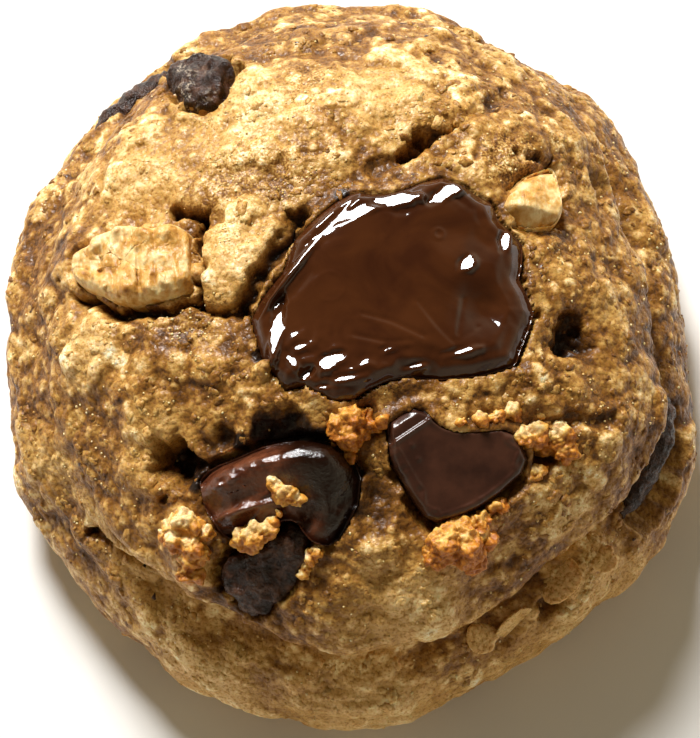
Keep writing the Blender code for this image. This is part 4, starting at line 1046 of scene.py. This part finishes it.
# toasted walnut kernel: broken faces with fine upright fibres, golden and slightly oily
nodeTree, inMm = newMaterial("toastedWalnut")
cloud = addNode(nodeTree, "TexNoise", {}, {"Scale": 1 / 2.2, "Detail": 4.0, "Roughness": 0.6, **inMm})
stretched = addNode(nodeTree, "Mapping", {}, {"Scale": (0.8, 0.3, 0.5), **inMm})
fibres = addNode(nodeTree, "TexNoise", {},
                 {"Vector": (stretched, 0), "Scale": 1 / 0.55, "Detail": 3.0, "Roughness": 0.6})
both = addNode(nodeTree, "Mix", {"data_type": "FLOAT"}, {0: 0.3, 2: (cloud, "Fac"), 3: (fibres, "Fac")})
base = addNode(nodeTree, "ValToRGB", {}, {"Fac": (both, 0)},
               ((0.34, "#996325"), (0.46, "#CF9A4A"), (0.60, "#ECD298")))
fine = addNode(nodeTree, "TexNoise", {}, {"Scale": 1 / 0.35, "Detail": 3.0, "Roughness": 0.65, **inMm})
bump = addNode(nodeTree, "Bump", {}, {"Height": (fibres, "Fac"), "Strength": 0.8, "Distance": 0.25 * mm})
bump = addNode(nodeTree, "Bump", {},
               {"Height": (fine, "Fac"), "Normal": (bump, 0), "Strength": 0.6, "Distance": 0.14 * mm})
addNode(nodeTree, "BsdfPrincipled", {}, {
    "Base Color": (base, 0), "Normal": (bump, 0), "IOR": 1.47, "Roughness": 0.36, "Subsurface Weight": 0.25,
    "Subsurface Scale": 0.6 * mm, "Subsurface Radius": (1.0, 0.6, 0.25)})

# toasted crumb: golden, a little translucent, buttery; painted paler towards the key as painted light, and
# darker between its grains as painted shade
nodeTree, inMm = newMaterial("toastedOatCrumb")
tone = addNode(nodeTree, "Attribute", {"attribute_name": "tone"})
crest = addNode(nodeTree, "Attribute", {"attribute_name": "crest"})
fine = addNode(nodeTree, "TexNoise", {}, {"Scale": 1 / 0.45, "Detail": 4.0, "Roughness": 0.65, **inMm})
base = addNode(nodeTree, "ValToRGB", {}, {"Fac": (tone, "Fac")},
               ((0.0, "#CF9038"), (0.35, "#E2AD52"), (0.7, "#EDCA7C"), (1.0, "#FAECC4")))
paintedCreaseShade = addNode(nodeTree, "ValToRGB", {}, {"Fac": (crest, "Fac")},
                 ((0.1, "#CC9F66"), (0.45, "#F4E4C2"), (0.85, "#FFFFFF")))
shade = addNode(nodeTree, "ValToRGB", {}, {"Fac": (fine, "Fac")},
                ((0.32, "#A87E50"), (0.5, "#F4E8D4"), (0.64, "#FFFFFF")))
base = addNode(nodeTree, "Mix", multiplying, {0: 0.6, 6: (base, 0), 7: (paintedCreaseShade, 0)})
base = addNode(nodeTree, "Mix", multiplying, {0: 0.6, 6: (base, 2), 7: (shade, 0)})
base = addNode(nodeTree, "Gamma", {}, {"Color": (base, 2), "Gamma": 1.15})
bump = addNode(nodeTree, "Bump", {}, {"Height": (fine, "Fac"), "Strength": 0.8, "Distance": 0.2 * mm})
addNode(nodeTree, "BsdfPrincipled", {}, {
    "Base Color": (base, 0), "Normal": (bump, 0), "IOR": 1.46, "Roughness": 0.38, "Subsurface Weight": 0.4,
    "Subsurface Scale": 0.7 * mm, "Subsurface Radius": (1.0, 0.7, 0.4)})

# pale matt paper below the cookie
nodeTree, inMm = newMaterial("palePaper")
addNode(nodeTree, "BsdfPrincipled", {}, {"Base Color": "#F4F2EE", "Roughness": 0.9})

for material in materials.values():
    shader = material.node_tree.nodes["Principled BSDF"]
    addNode(material.node_tree, "OutputMaterial", {}, {"Surface": (shader, 0)})
dressed = [(piece, "bakedOatDough") for piece in (dough, foot, doughCrumbs, sugarGrains, oatFlakes)]
dressed += [(chocolateSpecks, "temperedDarkChocolate")] + [(cluster, "toastedOatCrumb") for cluster in clusters]
for piece, finish in dressed + list(toppings.values()):
    piece.data.materials.clear()
    piece.data.materials.append(materials[finish])
print("materials done")

# Studio: pale floor, one key from the upper left, soft fill from a pale sky
studio = {
    "keyWay": (-0.24, 0.69, 0.68), "keyAway": 0.9, "keySize": 0.28, "keyWatts": 13.9,
    # the sky is pale near the horizon and dim overhead, so that the chocolate keeps its depth
    "horizon": 0.84, "overhead": 0.07, "warmth": (1.0, 0.86, 0.60),
    "shadySide": 0.74,  # how bright the side away from the key is
    "floorSize": 4.0, "floorHeight": -0.0002,
}
bpy.ops.object.select_all(action="DESELECT")
bpy.ops.mesh.primitive_plane_add(size=studio["floorSize"], location=(0, 0, studio["floorHeight"]))
floor = bpy.context.object
floor.name = "paleFloor"
floor.data.materials.append(materials["palePaper"])
world = bpy.data.worlds.new("paleSky")
bpy.context.scene.world = world
world.use_nodes = True
nodeTree = world.node_tree
direction = addNode(nodeTree, "TexCoord")
height = addNode(nodeTree, "SeparateXYZ", {}, {0: (direction, "Generated")})
skyStops = [(place, tuple(level * share for share in studio["warmth"]))
            for place, level in ((0.15, studio["horizon"]), (0.85, studio["overhead"]))]
dimming = addNode(nodeTree, "ValToRGB", {}, {"Fac": (height, "Z")}, skyStops)
sided = addNode(nodeTree, "MapRange", {}, {"Value": (height, "Y"), "From Min": -0.9, "From Max": 0.6,
                                           "To Min": studio["shadySide"], "To Max": 1.0})
skyColour = addNode(nodeTree, "VectorMath", {"operation": "SCALE"}, {0: (dimming, 0), "Scale": (sided, 0)})
sky = nodeTree.nodes["Background"]
sky.inputs["Strength"].default_value = 1.0
nodeTree.links.new(skyColour.outputs[0], sky.inputs["Color"])
keyWay = Vector(studio["keyWay"]).normalized()
keyLight = bpy.data.lights.new("warmKey", "AREA")
keyLight.shape = "DISK"
keyLight.size = studio["keySize"]
keyLight.energy = studio["keyWatts"]
key = bpy.data.objects.new("warmKey", keyLight)
key.location = keyWay * studio["keyAway"]
key.rotation_euler = keyWay.to_track_quat("Z", "Y").to_euler()
bpy.context.scene.collection.objects.link(key)

view = {"elevation": 74.0, "distance": 0.340, "target": (0.00048, -0.00258, 0.01126), "focalPixels": 2949.0,
        "picturePixels": 738.0}
camera = bpy.data.objects.new("photoCamera", bpy.data.cameras.new("photoCamera"))
tilt = math.radians(view["elevation"])
camera.location = Vector(view["target"]) + Vector((0, -math.cos(tilt), math.sin(tilt))) * view["distance"]
camera.rotation_euler = (math.radians(90) - tilt, 0, 0)
camera.data.sensor_width = 36.0
camera.data.lens = view["focalPixels"] * camera.data.sensor_width / view["picturePixels"]
camera.data.clip_start = 0.01
bpy.context.scene.collection.objects.link(camera)
bpy.context.scene.camera = camera
bpy.context.scene.view_settings.view_transform = "Standard"
print("studio done")
